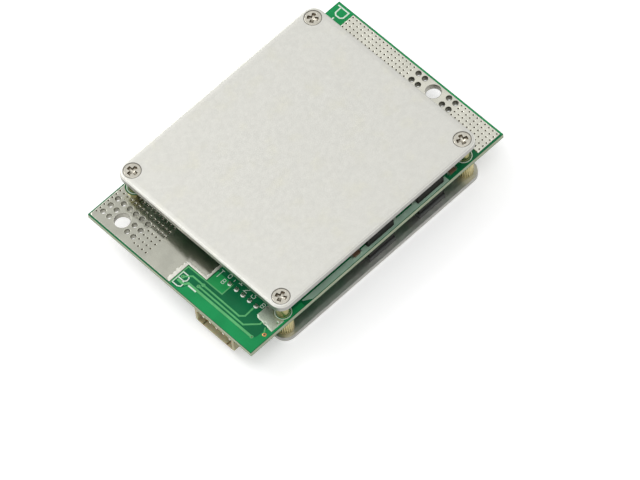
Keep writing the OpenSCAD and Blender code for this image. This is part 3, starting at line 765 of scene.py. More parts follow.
@dataclass
class Posts:
    """The four standoff stacks: plain above the board, knurled below it."""

    upper_d: float = 4.0
    lower_d: float = 5.0
    bore_r: float = 1.27
    stud_r: float = 1.25
    chamfer: float = 0.25
    ribs: int = 24
    rib_depth: float = 0.25
    collar: float = 0.4
    stud_top: float = 12.15
    bore_depth: float = 4.0

    def places(self) -> Array:
        """Centres of the four stacks."""
        low, high = box_mm("upper_standoffs")
        return corners(low[:2] + self.upper_d / 2, high[:2] - self.upper_d / 2)

    def upper(self) -> bpy.types.Object:
        """Turned sleeves: a chamfered wall revolved about each axis."""
        low, high = box_mm("upper_standoffs")
        r, c, z0, z1 = self.upper_d / 2, self.chamfer, low[2], high[2]
        profile = np.array([[self.bore_r, z0], [r - c, z0], [r, z0 + c], [r, z1 - c],
                            [r - c, z1], [self.bore_r, z1], [self.bore_r, z0]])
        shell = Shell()
        shell.revolve(profile, self.places(), 48)
        return shell.piece("upper_sleeves", Finishes.BRASS, "plain_brass", "upper_standoffs")

    def lower(self) -> bpy.types.Object:
        """Knurled nuts with a stud: the radius falls by depth * (1 - |cos(n t / 2)|)."""
        low, _ = box_mm("lower_standoffs")
        z0, z1 = low[2], box_mm("board")[0][2]
        r, inner = self.lower_d / 2, self.lower_d / 2 - self.rib_depth
        levels = np.array([[0, z0 + self.bore_depth, 0], [self.bore_r, z0 + self.bore_depth, 0],
                           [self.bore_r, z0, 0], [inner - 0.15, z0, 0], [inner, z0 + 0.15, 0],
                           [inner, z0 + self.collar, 0], [r, z0 + self.collar + 0.1, 1],
                           [r, z1 - self.collar - 0.1, 1], [inner, z1 - self.collar, 0],
                           [inner, z1, 0], [self.stud_r, z1, 0],
                           [self.stud_r, self.stud_top, 0], [0, self.stud_top, 0]])
        angle = np.linspace(0, 2 * np.pi, self.ribs * 8, endpoint=False)
        groove = self.rib_depth * (1 - np.abs(np.cos(self.ribs * angle / 2)) ** 0.6)
        radius = levels[:, :1] - levels[:, 2:] * groove[None]
        shell = Shell()
        for x, y in self.places():
            shell.grid(np.stack([x + radius * np.cos(angle), y + radius * np.sin(angle),
                                 np.broadcast_to(levels[:, 1:2], radius.shape)], axis=-1))
        return shell.piece("knurled_nuts", Finishes.KNURLED, "knurled_brass", "lower_standoffs")

    def build(self) -> None:
        """Make both rows of stacks."""
        self.upper()
        self.lower()


@dataclass
class CrossScrews:
    """Countersunk cross-recess screws in both cover plates."""

    head_r: float = 2.35
    shank_r: float = 1.25
    rim: float = 0.2
    length: float = 5.0
    arm_l: float = 1.6
    arm_w: float = 0.44
    recess: float = 1.05
    wall_slope: float = 4.5
    rings: int = 44
    turns: int = 128
    turned: tuple[float, ...] = (22.0, 68.0, 31.0, 2.0)

    def head(self, turn: float) -> Array:
        """Height over the head: a low dome less a cross whose floor rises to its tips.

        The depth is the lesser of slope * distance inside the cross and
        recess * (1 - 0.7 r / arm), and the rim falls away in a quarter round.

        Args:
            turn: Turn of the cross in degrees.

        Returns:
            Grid of points around the axis, with the head's face at height 0.
        """
        r = np.linspace(0, 1, self.rings)[:, None] ** 0.85 * self.head_r
        angle = np.linspace(0, 2 * np.pi, self.turns, endpoint=False)[None]
        x, y = r * np.cos(angle), r * np.sin(angle)
        spin = math.radians(turn)
        u = np.abs(x * math.cos(spin) + y * math.sin(spin))
        v = np.abs(y * math.cos(spin) - x * math.sin(spin))
        flare = self.arm_w * (1 + 0.35 * r / self.arm_l)
        along = np.minimum(flare - v, self.arm_l - u)
        across = np.minimum(flare - u, self.arm_l - v)
        hub = 0.78 - np.hypot(u, v)
        within = np.maximum(np.maximum(along, across), hub)
        floor = self.recess * np.maximum(1 - 0.7 * r / self.arm_l, 0.15)
        depth = np.clip(self.wall_slope * within, 0, floor)
        lip = 0.02 * np.exp(-(within / 0.12) ** 2)
        edge = np.clip((r - self.head_r + 0.14) / 0.14, 0, 1)
        height = lip - depth - 0.07 * (1 - np.sqrt(1 - edge ** 2)) - 0.02 * (r / self.head_r) ** 2
        return np.stack([x, y, np.broadcast_to(height, x.shape)], axis=-1)

    def row(self, name: str, face: float, up: float, node: str, places: Array) -> None:
        """Make the four screws of one plate.

        Args:
            name: Name of the piece.
            face: Height of the head faces.
            up: 1 where the heads look up and -1 where they look down.
            node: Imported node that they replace.
            places: Centres of the screws.
        """
        below = np.array([[self.head_r, -self.rim], [self.shank_r, self.shank_r - self.head_r
                          - self.rim], [self.shank_r, 0.3 - self.length],
                          [self.shank_r - 0.3, -self.length], [0, -self.length]])
        angle = np.linspace(0, 2 * np.pi, self.turns, endpoint=False)
        shell = Shell()
        for place, turn in zip(places, self.turned):
            shank = np.stack([below[:, :1] * np.cos(angle), below[:, :1] * np.sin(angle),
                              np.broadcast_to(below[:, 1:], (len(below), self.turns))], axis=-1)
            points = np.concatenate([self.head(turn), shank])
            points[..., 2] = face + up * points[..., 2]
            points[..., :2] += place
            shell.grid(points)
        shell.piece(name, Finishes.NICKEL, "nickel_screw", node, crease=50)

    def gap(self) -> Array:
        """Section of the dark ring of painted shade between a head and its plate, from the face;
        it reaches a little onto the plate.
        """
        return np.array([[2.3, -0.14], [2.32, -0.1], [2.42, -0.04], [2.47, 0.012],
                         [2.56, 0.01], [2.6, -0.02], [2.3, -0.14]])

    def build(self, places: Array) -> None:
        """Make both rows of screws and the rings of painted shade around their heads."""
        shell = Shell()
        for face, up in ((box_mm("top_plate")[1][2], 1), (box_mm("bottom_plate")[0][2], -1)):
            shell.revolve(self.gap() * [1, up] + [0, face], places, 64)
        shell.piece("painted_shade_rings", Finishes.GAP_SHADE, "nickel_screw")
        self.row("top_cross_screws", box_mm("top_screws")[1][2], 1, "top_screws", places)
        self.row("bottom_cross_screws", box_mm("bottom_screws")[0][2], -1, "bottom_screws",
                 places)


@dataclass
class TerminalLand:
    """One tinned terminal land on both faces, with its lined holes and stitching holes."""

    node: str
    finish: Finishes
    wall: Finishes
    bolt: tuple[float, float]
    bolt_r: float
    feeds: Array
    vias: Array
    posts: Array
    outline: Array
    feed_r: float = 0.75
    via_r: float = 0.3
    ring_r: float = 2.75
    lining: float = 0.18
    lip: float = 0.2
    coat_gap: float = 0.08

    def hole_profile(self, r: float, low: float, high: float) -> Array:
        """Section of a lined hole: its wall, and a rounded lip over each face.

        Args:
            r: Radius of the hole.
            low: Height of the land's lower face.
            high: Height of its upper face.

        Returns:
            Closed rows of radius and height.
        """
        out, rise, wide = 0.02, 0.012, self.lip
        top = np.array([[r, high - 0.12], [r + 0.03, high - 0.02], [r + wide * 0.25, high + rise],
                        [r + wide * 0.5, high + rise * 1.2], [r + wide * 0.8, high + rise * 0.8],
                        [r + wide, high - out], [r + self.lining, high - 0.15]])
        low_side = np.column_stack([top[::-1, 0], low + high - top[::-1, 1]])
        return np.concatenate([top, low_side, top[:1]])

    def via_lip(self, board: float, top: float) -> Array:
        """Section of the rounded lip of a stitching hole, from board to land."""
        return np.array([[0.25, board + 0.02], [0.27, top - 0.04], [0.32, top - 0.005],
                         [0.38, top + 0.004], [0.46, top - 0.01], [0.40, top - 0.1],
                         [0.25, board + 0.02]])

    def via_well(self, board: float) -> Array:
        """Section of the dark disc of painted shade down in a stitching hole."""
        return np.array([[0, board + 0.005], [0.29, board + 0.005], [0.29, board + 0.03],
                         [0, board + 0.02]])

    def build(self) -> None:
        """Make the coated faces, the hole linings, the stitching lips, and dark discs of painted
        shade down in the stitching holes.
        """
        low, high = box_mm(self.node)
        board_high = box_mm("board")[1][2]
        middle = (low[2] + high[2]) / 2
        gap = self.coat_gap
        spots = [[*self.bolt, self.bolt_r + gap], *[[*p, self.feed_r + gap] for p in self.feeds],
                 *[[*p, self.via_r] for p in self.vias], *[[*p, self.ring_r] for p in self.posts]]
        shell = Shell()
        face = Layer(self.outline, np.array(spots), board_high, high[2] - board_high)
        face.add_to(shell, middle)
        lip = self.via_lip(board_high, high[2])
        for profile in (lip, np.column_stack([lip[:, 0], 2 * middle - lip[:, 1]])):
            shell.revolve(profile, self.vias, 14)
        shell.piece(f"{self.node}_coat", self.finish, "tinned_copper", self.node)
        # The linings take the darker lining finishes, painted shade inside the holes.
        for hole, r, places, finish in (
                ("bolt", self.bolt_r, np.array([self.bolt]), Finishes.BOLT_LINING_SHADE),
                ("feed", self.feed_r, self.feeds, self.wall)):
            lining = Shell()
            lining.revolve(self.hole_profile(r, low[2], high[2]), places, 56)
            lining.piece(f"{self.node}_{hole}_linings", finish, "tinned_copper")
        dark = Shell()
        well = self.via_well(board_high)
        for profile in (well, np.column_stack([well[:, 0], 2 * middle - well[:, 1]])):
            dark.revolve(profile, self.vias, 10)
        dark.piece(f"{self.node}_via_shade_discs", Finishes.VIA_SHADE, "tinned_copper")


@dataclass
class SolderRun:
    """An uneven bead of solder along the edge of a land.

    Its width is width * (1 + wander * (sin(1.9 s) + sin(4.7 s + 1)) / 2) at s millimetres
    along the path, and its height follows half an ellipse across that width.
    """

    path: Array
    width: float
    base: float
    rise: float = 0.02
    wander: float = 0.25
    step: float = 0.2

    def add_to(self, shell: Shell) -> None:
        """Append the bead, on the left of its path.

        Args:
            shell: Where it goes.
        """
        points, sides, total = [], [], 0.0
        for a, b in zip(self.path[:-1], self.path[1:]):
            length = float(np.linalg.norm(b - a))
            share = np.linspace(0, 1, max(2, round(length / self.step)))[:, None]
            points.append(np.column_stack([a + share * (b - a), total + share * length]))
            sides.append(np.tile(np.array([a[1] - b[1], b[0] - a[0]]) / length,
                                 (len(share), 1)))
            total += length
        line, side = np.concatenate(points), np.concatenate(sides)
        run = line[:, 2]
        end = np.clip(np.minimum(run, total - run) / 0.6, 0.05, 1) ** 0.5
        wide = self.width * end * (1 + self.wander * (np.sin(1.9 * run)
                                                      + np.sin(4.7 * run + 1)) / 2)
        turn = np.linspace(0, 2 * np.pi, 14, endpoint=False)
        across, up = (1 - np.cos(turn)) / 2, np.maximum(np.sin(turn), -0.2)
        flat = line[:, None, :2] + side[:, None] * (wide[:, None] * across)[..., None]
        level = np.broadcast_to(self.base + self.rise * up, flat.shape[:2])
        ring = np.concatenate([flat, level[..., None]], axis=-1)
        shell.grid(ring)
        for cap in (ring[0], ring[-1]):
            shell.add(cap, np.arange(len(turn))[None])


@dataclass
class Header:
    """Side-entry socket: one skin carried from the back, over the mouth, to its floor."""

    end_wall: float = 1.0
    wall: float = 0.7
    back: float = 2.0
    corner: float = 0.9
    edge: float = 0.12
    key_place: float = 4.55
    key_w: float = 0.5
    key_depth: float = 0.4
    key_l: float = 5.0

    def loop(self, x: float, half: float, low: float, high: float, corner: float,
             key: float) -> Array:
        """One section of the skin, counterclockwise from its upper left.

        Args:
            x: Where the section lies.
            half: Half of its width.
            low: Its lowest height.
            high: Its highest height.
            corner: Radius of its lower corners.
            key: Depth of the two grooves in its lower side.

        Returns:
            Its points around the middle of the header.
        """
        angle = np.linspace(math.pi, 1.5 * math.pi, 7)
        arc = np.column_stack([np.cos(angle), 1 + np.sin(angle)]) * corner + [-half, low]
        arc[:, 0] += corner
        out, near = self.key_place + self.key_w / 2, self.key_place - self.key_w / 2
        floor = np.array([[-out, low], [-out + 0.04, low - key], [-near - 0.04, low - key],
                          [-near, low]])
        left = np.concatenate([[[0, high], [-half, high]], arc, floor])
        right = (left * [-1, 1])[:0:-1]
        flat = np.concatenate([left, [[0, low]], right])
        return np.column_stack([np.full(len(flat), x), flat])

    def build(self) -> None:
        """Make the socket."""
        low, high = box_mm("header_housing")
        half, e = (high[1] - low[1]) / 2, self.edge
        inner, z0, z1 = half - self.end_wall, low[2] + self.wall, high[2] - self.wall
        mouth, floor, key = low[0], high[0] - self.back, self.key_depth
        loops = [self.loop(high[0], half - e, low[2] + e, high[2], self.corner, 0),
                 self.loop(high[0] - e, half, low[2], high[2], self.corner, 0),
                 self.loop(mouth + e, half, low[2], high[2], self.corner, 0),
                 self.loop(mouth, half - e, low[2] + e, high[2], self.corner, 0),
                 self.loop(mouth, inner + e, z0 - e, z1 + e, 0.2, key - e),
                 self.loop(mouth + 2 * e, inner, z0, z1, 0.15, key),
                 self.loop(mouth + self.key_l, inner, z0, z1, 0.15, key),
                 self.loop(mouth + self.key_l + e, inner, z0, z1, 0.15, 0),
                 self.loop(floor - e, inner, z0, z1, 0.15, 0),
                 self.loop(floor, inner - e, z0 + e, z1 - e, 0.15, 0)]
        skin = np.array(loops) + [0, (low[1] + high[1]) / 2, 0]
        shell = Shell()
        shell.grid(skin)
        for cap in (skin[0], skin[-1]):
            shell.add(cap, np.arange(len(cap))[None])
        shell.piece("socket", Finishes.NYLON, "header_nylon", "header_housing", crease=35)


@dataclass
class Lands:
    """Places of the holes in both terminal lands."""

    b_bolt: tuple[float, float] = (-42.1, 23.2)
    b_bolt_r: float = 2.25
    p_bolt: tuple[float, float] = (43.7, -8.2)
    p_bolt_r: float = 2.2
    b_feed_x: float = -43.6
    p_feed_x: float = 45.15
    bolt_clear: float = 3.5
    feed_clear: float = 1.43
    post_clear: float = 3.25
    p_via_clear: float = 8.48
    b_end_inset: float = 1.2
    b_pitch: float = 2.35
    p_first: float = 4.6
    p_pitch: float = 2.45
    feed_step: float = 2.7
    via_pitch: float = 1.48
    b_via_step: float = 1.74
    b_edge_step: float = 1.45
    p_via_step: float = 1.33
    inset: float = 0.6
    strip: float = 6.4
    wide_end: float = 0.2

    def battery(self, posts: Array) -> TerminalLand:
        """Lay out the battery end's land: a wide part and an inner strip by the plates.

        Args:
            posts: Centres of the standoffs.

        Returns:
            The land.
        """
        low, high = box_mm("battery_land")
        rows = self.b_bolt[1] + (np.arange(6) - 2.5) * self.b_pitch
        grid = np.stack(np.meshgrid(self.b_feed_x + self.feed_step * np.arange(3), rows), -1)
        feeds = grid.reshape(-1, 2)
        feeds = feeds[np.linalg.norm(feeds - self.b_bolt, axis=1) > self.bolt_clear]
        column, row = np.meshgrid(np.arange(7), np.arange(14))
        start = np.array([high[0] - self.b_end_inset, high[1] - self.inset])
        vias = start - np.stack([column * self.b_via_step, row * self.via_pitch], -1)
        vias = vias[(column < 2) | (row >= 10)]
        edge = start - np.stack([self.b_via_step + np.arange(1, 7) * self.b_edge_step,
                                 np.zeros(6)], -1)
        vias = self.clear(np.concatenate([vias, edge]), feeds, posts)
        inner = high[0] - self.strip
        outline = np.array([[low[0], high[1]], [low[0], self.wide_end], [inner, self.wide_end],
                            [inner, low[1]], [high[0], low[1]], [high[0], high[1]]])
        return TerminalLand("battery_land", Finishes.SHADED_BATTERY_TIN, Finishes.PALE_LINING_SHADE,
                            self.b_bolt, self.b_bolt_r, feeds, vias, posts, outline)

    def load(self, posts: Array) -> TerminalLand:
        """Lay out the load end's land: one strip along the board's end.

        Args:
            posts: Centres of the standoffs.

        Returns:
            The land.
        """
        low, high = box_mm("load_land")
        rows = np.array([s * (self.p_first + k * self.p_pitch) for s in (-1, 1) for k in (0, 1)])
        grid = np.stack(np.meshgrid(self.p_feed_x - self.feed_step * np.arange(2),
                                    self.p_bolt[1] + rows), -1)
        upper = np.arange(high[1] - self.inset, self.p_bolt[1] + self.p_via_clear,
                          -self.via_pitch)
        lower = np.arange(low[1] + self.inset, self.p_bolt[1] - self.p_via_clear,
                          self.via_pitch)
        vias = np.stack(np.meshgrid(high[0] - self.inset - self.p_via_step * np.arange(6),
                                    np.concatenate([upper, lower])), -1).reshape(-1, 2)
        feeds = grid.reshape(-1, 2)
        vias = self.clear(vias, feeds, posts)
        return TerminalLand("load_land", Finishes.LOAD_TIN, Finishes.FEED_LINING_SHADE,
                            self.p_bolt, self.p_bolt_r, feeds, vias, posts, corners(low, high))

    def clear(self, vias: Array, feeds: Array, posts: Array) -> Array:
        """Keep the stitching holes that lie clear of larger holes and standoffs.

        Args:
            vias: Centres of the stitching holes.
            feeds: Centres of the wire holes.
            posts: Centres of the standoffs.

        Returns:
            The centres that are kept.
        """
        far = [np.linalg.norm(vias[:, None] - places, axis=-1).min(axis=1)
               for places in (feeds, posts)]
        return vias[(far[0] > self.feed_clear) & (far[1] > self.post_clear)]

    def build(self, posts: Array) -> None:
        """Make both lands."""
        battery = self.battery(posts)
        battery.build()
        self.load(posts).build()
        top = float(box_mm("battery_land")[1][2])
        x0, x1, x2, y0, y1 = (battery.outline[0, 0], battery.outline[2, 0],
                              battery.outline[4, 0], battery.outline[2, 1],
                              battery.outline[3, 1])
        shell = Shell()
        SolderRun(np.array([[x0 + 0.1, y0 + 0.06], [x1 + 0.1, y0 + 0.06]]), 1.15,
                  top).add_to(shell)
        SolderRun(np.array([[x1 + 0.06, y0 + 1.2], [x1 + 0.06, y1 + 0.1]])[::-1], -0.7,
                  top).add_to(shell)
        SolderRun(np.array([[x1 + 0.1, y1 + 0.06], [x2 - 0.1, y1 + 0.06]]), 0.75,
                  top).add_to(shell)
        shell.piece("solder_runs", Finishes.RUN, "solder")


@dataclass
class BoardFace:
    """What lies on the board's upper face: pours, traces, rings, marks and joints."""

    lift: float = 0.035
    ink: float = 0.02
    trace_w: float = 0.62
    pin_x: float = -36.0
    pin_y: float = -12.1
    pin_step: float = 2.5
    pins: int = 5

    def top(self) -> float:
        """Height of the board's upper face."""
        return float(box_mm("board")[1][2])

    def pours(self) -> None:
        """Copper areas under the mask: thin layers with a soft edge."""
        wide, bright, edge = Shell(), Shell(), Shell()
        areas = (
            (wide, [[-46.85, -0.45], [-46.85, -31.35], [-27.0, -31.35], [-27.0, -29.9],
                    [-39.2, -29.2], [-42.6, -28.9], [-43.8, -28.0], [-43.85, -4.3],
                    [-45.4, -3.7], [-46.4, -2.4], [-46.5, -0.45]]),
            (bright, [[-39.5, -12.7], [-35.4, -12.7], [-35.4, -6.95], [-39.5, -6.95]]),
            (edge, [[-24.0, -31.35], [26.75, -31.35], [26.75, -29.6], [-26.4, -29.6],
                    [-26.4, -29.9]]),
            (wide, [[37.7, 25.75], [46.85, 25.75], [46.85, 31.35], [37.7, 31.35]]),
            (wide, [[46.5, -31.35], [46.88, -31.35], [46.88, 25.75], [46.5, 25.75]]),
            (bright, [[37.9, 25.55], [46.4, 25.55], [46.4, 25.95], [37.9, 25.95]]),
        )
        for shell, outline in areas:
            Layer(np.array(outline), np.empty((0, 3)), self.top(), self.lift,
                  soft=0.1).add_to(shell)
        wide.piece("mask_pours", Finishes.POUR, "solder_mask_board")
        bright.piece("mask_bright_pours", Finishes.BRIGHT_POUR, "solder_mask_board")
        edge.piece("mask_edge_pour", Finishes.EDGE_POUR, "solder_mask_board")

    def traces(self) -> None:
        """Copper lines under the mask, swept along their paths, with ringed ends."""
        lines = (
            (0.5, [[-42.96, -1.31], [-41.06, -3.17], [-41.07, -7.24], [-41.16, -20.97],
                   [-40.04, -22.15], [-36.9, -22.0]]),
            (0.5, [[-42.21, -6.55], [-42.26, -23.69], [-39.1, -26.81], [-38.2, -26.81]]),
            (0.75, [[-44.44, -0.77], [-44.49, -2.46], [-44.27, -3.3], [-43.41, -3.89],
                    [-43.34, -27.91]]),
            (0.36, [[-46.73, -0.12], [-39.8, -0.12], [-39.62, -12.85], [-35.5, -12.85]]),
            (0.4, [[-40.3, -29.6], [-38.9, -28.6]]),
        )
        shell = Shell()
        for width, path in lines:
            shell.sweep(np.array(path), flat_band(width, self.top(), self.lift * 1.6))
        rings = np.array([[-41.07, -7.24], [-42.21, -6.55], [-43.35, -28.02], [-42.96, -1.31]])
        height = self.top() + self.lift * 2
        profile = np.array([[0.24, self.top()], [0.25, height], [0.34, height + 0.015],
                            [0.48, height], [0.55, self.top()], [0.24, self.top()]])
        shell.revolve(profile, rings, 24)
        shell.piece("mask_traces", Finishes.TRACE, "solder_mask_board")
        bare = Shell()
        spot = np.array([[-40.55, -30.01]])
        bare.revolve(profile * [1.15, 1], spot, 24)
        bare.piece("bare_copper_ring", Finishes.COPPER_RING, "solder_mask_board")
        # Painted shade: dark discs in the ringed ends stand in for the darkness down the holes.
        dark = Shell()
        dot = np.array([[0, self.top() + 0.02], [0.25, self.top() + 0.02],
                        [0.25, height - 0.02], [0, height - 0.03]])
        dark.revolve(dot, np.concatenate([rings, spot]), 12)
        dark.piece("trace_via_shade_discs", Finishes.VIA_SHADE, "solder_mask_board")

    def marks(self, posts: Array) -> None:
        """Printed strokes: terminal letters, contact numbers and rings round the posts."""
        shell = Shell()
        base = self.top() + self.lift
        ring = np.array([[2.12, base - 0.03], [2.14, base + self.ink], [2.38, base + self.ink],
                         [2.4, base - 0.03], [2.12, base - 0.03]])
        shell.revolve(ring, posts, 72)
        for mark in Mark:
            for closed, path in mark.paths():
                shell.sweep(path, flat_band(mark.value.line, base, self.ink), closed)
        shell.piece("printed_marks", Finishes.INK, "solder_mask_board")

    def joints(self) -> None:
        """Solder fillets round the contact pins: a concave cone revolved about each."""
        top = self.top()
        r = np.linspace(1, 0, 9)
        profile = np.column_stack([0.36 + 0.3 * r ** 1.3, top + 0.03 + 0.32 * (1 - r) ** 1.4])
        profile = np.concatenate([[[0.68, top]], profile, [[0, profile[-1, 1]]], [[0, top]]])
        places = np.array([[self.pin_x, self.pin_y - self.pin_step * i]
                           for i in range(self.pins)])
        shell = Shell()
        shell.revolve(profile, places, 36)
        shell.piece("pin_joints", Finishes.SOLDER, "solder", "header_solder")

    def patch(self, posts: Array) -> None:
        """The uneven solder patch beside the header."""
        outline = np.array([[-38.7, -30.8], [-34.1, -30.8], [-33.6, -27.8], [-33.2, -24.1],
                            [-37.6, -24.18], [-38.15, -24.9], [-38.3, -25.7], [-38.2, -26.5],
                            [-38.45, -27.5], [-38.4, -28.6], [-38.65, -29.6]])
        holes = np.array([[*posts[0], 2.45], [-35.7, -29.9, 0.17], [-38.0, -27.6, 0.15]])
        shell = Shell()
        Layer(outline, holes, self.top(), 0.2, soft=0.5, sill=0.25,
              step=0.3).add_to(shell)
        shell.piece("solder_patch", Finishes.PATCH, "solder_patch", "corner_patch")

    def build(self, posts: Array) -> None:
        """Make everything on the face."""
        self.pours()
        self.traces()
        self.marks(posts)
        self.joints()
        self.patch(posts)


@dataclass(frozen=True)
class Strokes:
    """A printed mark: its strokes on a unit square, its place, size and line width."""

    strokes: tuple[tuple[bool, tuple[tuple[float, float], ...]], ...]
    place: tuple[float, float]
    size: tuple[float, float]
    line: float
    turned: bool = False


BAR = ((False, ((0.0, 0.5), (1.0, 0.5))),)
UPRIGHT = ((False, ((0.5, 0.0), (0.5, 1.0))),)
LETTER_B = ((False, ((0, 0), (0, 1), (0.72, 1), (0.95, 0.89), (1, 0.68), (0.87, 0.55),
                     (0.66, 0.52), (0, 0.52))),
            (False, ((0, 0), (0.72, 0), (1, 0.12), (1, 0.34), (0.83, 0.46), (0.66, 0.52))))
LETTER_P = ((False, ((0, 0), (0, 1), (0.75, 1), (1, 0.82), (1, 0.46), (0.8, 0.3), (0, 0.28))),)
ONE = ((False, ((0, 0), (1, 0))), (False, ((0.5, 0), (0.5, 1), (0.2, 0.8))))
TWO = ((False, ((0, 0.75), (0.25, 1), (0.75, 1), (1, 0.75), (0, 0), (1, 0))),)
THREE = ((False, ((0, 0.9), (0.5, 1), (1, 0.85), (0.6, 0.55), (1, 0.42), (1, 0.1), (0.8, 0),
                  (0.2, 0), (0, 0.15), (0, 0.4))),)
ZERO = ((True, ((0.2, 0), (0, 0.3), (0, 0.7), (0.2, 1), (0.8, 1), (1, 0.7), (1, 0.3),
                (0.8, 0))),)
LETTER_T = ((False, ((0, 1), (1, 1))), (False, ((0.5, 1), (0.5, 0))))


class Mark(Enum):
    """Plain terminal and contact marks, each by its lower left corner."""

    BATTERY = Strokes(LETTER_B, (-45.97, -0.3), (4.16, 2.76), 0.34)
    BATTERY_BAR = Strokes(BAR, (-45.98, -4.35), (4.16, 2.95), 0.46)
    LOAD = Strokes(LETTER_P, (46.0, 30.8), (4.1, 2.85), 0.42, True)
    LOAD_BAR = Strokes(BAR, (42.3, 30.8), (4.1, 2.9), 0.42, True)
    FIRST = Strokes(ONE, (-34.15, -13.6), (1.7, 1.3), 0.2)
    SECOND = Strokes(TWO, (-34.95, -16.2), (1.8, 1.25), 0.2)
    THIRD = Strokes(THREE, (-34.9, -18.85), (1.8, 1.2), 0.2)
    NEGATIVE = Strokes(ZERO, (-34.9, -10.0), (1.2, 0.9), 0.18)
    NEGATIVE_BAR = Strokes(UPRIGHT, (-34.8, -11.8), (0.75, 1.0), 0.18)
    NEGATIVE_B = Strokes(LETTER_B, (-37.3, -9.9), (1.4, 0.8), 0.16)
    POSITIVE = Strokes(LETTER_B, (-35.4, -22.9), (1.4, 0.9), 0.18)
    SENSOR = Strokes(LETTER_T, (-36.9, -7.4), (2.6, 1.0), 0.18)

    def paths(self) -> list[tuple[bool, Array]]:
        """Place the strokes on the board, upright along +X, or along -Y where turned.

        Returns:
            For each stroke whether it is closed, and its points.
        """
        mark = self.value
        found = []
        for closed, stroke in mark.strokes:
            across, up = np.array(stroke, dtype=float).T
            up, across = up * mark.size[0], across * mark.size[1]
            step = (-across, -up) if mark.turned else (up, -across)
            found.append((closed, np.column_stack(step) + mark.place))
        return found


class Carried:
    """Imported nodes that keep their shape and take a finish."""

    FINISH: dict[str, Finishes] = {
        "board": Finishes.MASK, "top_plate": Finishes.PLATE, "bottom_plate": Finishes.PLATE,
        "header_housing": Finishes.NYLON, "header_pins": Finishes.PIN,
        "upper_thermal_pads": Finishes.PAD, "lower_thermal_pads": Finishes.PAD,
        "upper_gate_resistors": Finishes.CHIP_BROWN, "lower_gate_resistors": Finishes.CHIP_BROWN,
        "sense_strips": Finishes.CHIP_BLACK, "balance_resistors": Finishes.CHIP_BLACK,
        "balance_transistors": Finishes.EPOXY, "control_chip": Finishes.EPOXY,
        "filter_capacitors": Finishes.CHIP_BROWN, "sense_feet": Finishes.CHIP_END,
    }

    def finish_of(self, node: str) -> Finishes:
        """The finish of one node, by its name or by its ending.

        Args:
            node: Name of the node.

        Returns:
            Its finish.
        """
        if node in self.FINISH:
            return self.FINISH[node]
        if node.endswith("_bodies"):
            return Finishes.EPOXY
        return Finishes.CHIP_END if node.endswith("_caps") else Finishes.TINNED_LEAD

    def build(self) -> None:
        """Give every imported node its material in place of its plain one."""
        for node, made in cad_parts.items():
            made.data.materials.clear()
            made.data.materials.append(material_of(self.finish_of(node)))
            LOG.info("%s: %s", node, self.finish_of(node).name.lower())


# ---- studio ----


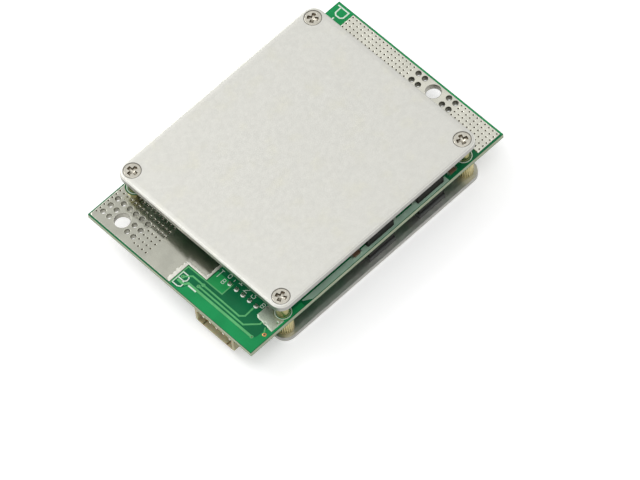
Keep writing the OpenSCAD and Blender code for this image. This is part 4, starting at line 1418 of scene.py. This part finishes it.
@dataclass
class Studio:
    """Camera, soft lamps, white surroundings and a pale floor."""

    azimuth: float = -37.759
    elevation: float = 57.701
    roll: float = -7.615
    distance: float = 1541.1
    lens: float = 326.81
    target: tuple[float, float, float] = (-10.046, -19.634, 9.6)
    sky: float = 0.8
    glow: float = 0.3
    floor_half: float = 1500.0

    def camera(self) -> None:
        """Place the camera from its angles, distance and target."""
        a, e, r = (math.radians(v) for v in (self.azimuth, self.elevation, self.roll))
        back = Vector((math.sin(a) * math.cos(e), -math.cos(a) * math.cos(e), math.sin(e)))
        side = Vector((0, 0, 1)).cross(back).normalized()
        up = back.cross(side)
        right = side * math.cos(r) + up * math.sin(r)
        top = up * math.cos(r) - side * math.sin(r)
        place = (Vector(self.target) + back * self.distance) * MM
        data = bpy.data.cameras.new("camera")
        data.lens, data.sensor_width = self.lens, 36.0
        data.clip_start, data.clip_end = 0.05, 20.0
        made = bpy.data.objects.new("camera", data)
        made.matrix_world = Matrix((right, top, back)).transposed().to_4x4()
        made.location = place
        bpy.context.scene.collection.objects.link(made)
        bpy.context.scene.camera = made

    def seen(self, tree: bpy.types.NodeTree) -> Socket:
        """Tell the rays that see the floor's own white from those that light with it.

        Args:
            tree: Nodes of the floor's material.

        Returns:
            1 for camera, glossy and transmission rays, else 0.
        """
        path = tree.nodes.new("ShaderNodeLightPath")
        total = path.outputs["Is Camera Ray"]
        for name in ("Is Glossy Ray", "Is Transmission Ray"):
            more = tree.nodes.new("ShaderNodeMath")
            more.operation = "MAXIMUM"
            tree.links.new(total, more.inputs[0])
            tree.links.new(path.outputs[name], more.inputs[1])
            total = more.outputs[0]
        return total

    def world(self) -> None:
        """A plain white level from every side."""
        world = bpy.data.worlds.new("surroundings")
        world.use_nodes = True
        plain = world.node_tree.nodes["Background"]
        plain.inputs["Strength"].default_value = self.sky
        plain.inputs["Color"].default_value = (1, 1, 1, 1)
        bpy.context.scene.world = world

    def floor(self) -> None:
        """A pale floor that looks white and keeps the board's shadow."""
        half = self.floor_half
        points = np.array([[-half, -half, -0.05], [half, -half, -0.05], [half, half, -0.05],
                           [-half, half, -0.05]]) * MM
        mesh = bpy.data.meshes.new("floor")
        mesh.from_pydata(points.tolist(), [], [[0, 1, 2, 3]])
        material = bpy.data.materials.new("pale_floor")
        material.use_nodes = True
        tree = material.node_tree
        shader = tree.nodes["Principled BSDF"]
        shader.inputs["Base Color"].default_value = (0.86, 0.86, 0.86, 1)
        shader.inputs["Roughness"].default_value = 0.9
        shader.inputs["Specular IOR Level"].default_value = 0.0
        glow = tree.nodes.new("ShaderNodeEmission")
        glow.inputs["Color"].default_value = (1, 1, 1, 1)
        share = tree.nodes.new("ShaderNodeMath")
        share.operation = "MULTIPLY"
        share.inputs[1].default_value = self.glow
        tree.links.new(self.seen(tree), share.inputs[0])
        tree.links.new(share.outputs[0], glow.inputs["Strength"])
        both = tree.nodes.new("ShaderNodeAddShader")
        tree.links.new(shader.outputs[0], both.inputs[0])
        tree.links.new(glow.outputs[0], both.inputs[1])
        tree.links.new(both.outputs[0], tree.nodes["Material Output"].inputs[0])
        mesh.materials.append(material)
        made = bpy.data.objects.new("floor", mesh)
        bpy.context.scene.collection.objects.link(made)

    def lamp(self, name: str, place: tuple[float, float, float], size: float,
             power: float) -> None:
        """A square soft lamp that looks at the board.

        Args:
            name: Name of the lamp.
            place: Its centre in millimetres.
            size: Its side in millimetres.
            power: Its power in watts.
        """
        data = bpy.data.lights.new(name, "AREA")
        data.shape, data.size, data.energy = "SQUARE", size * MM, power
        made = bpy.data.objects.new(name, data)
        made.location = Vector(place) * MM
        made.rotation_euler = made.location.to_track_quat("Z", "Y").to_euler()
        bpy.context.scene.collection.objects.link(made)

    def build(self) -> None:
        """Set the camera, the surroundings, the floor and the lamps."""
        scene = bpy.context.scene
        scene.view_settings.view_transform = "Standard"
        self.camera()
        self.world()
        self.floor()
        self.lamp("left_lamp", (-700, 150, 260), 420, 0.45)
        self.lamp("back_lamp", (100, 800, 350), 420, 1.2)
        self.lamp("high_lamp", (-300, 1200, 1200), 750, 6.6)
        self.lamp("over_lamp", (-60, -80, 700), 400, 0.5)


def main() -> None:
    """Build every sub-assembly in order."""
    logging.basicConfig(level=logging.INFO, format="%(message)s")
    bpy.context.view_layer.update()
    Studio().build()
    Carried().build()
    posts = Posts()
    posts.build()
    CrossScrews().build(posts.places())
    Lands().build(posts.places())
    Header().build()
    BoardFace().build(posts.places())


if __name__ == "__main__":
    main()
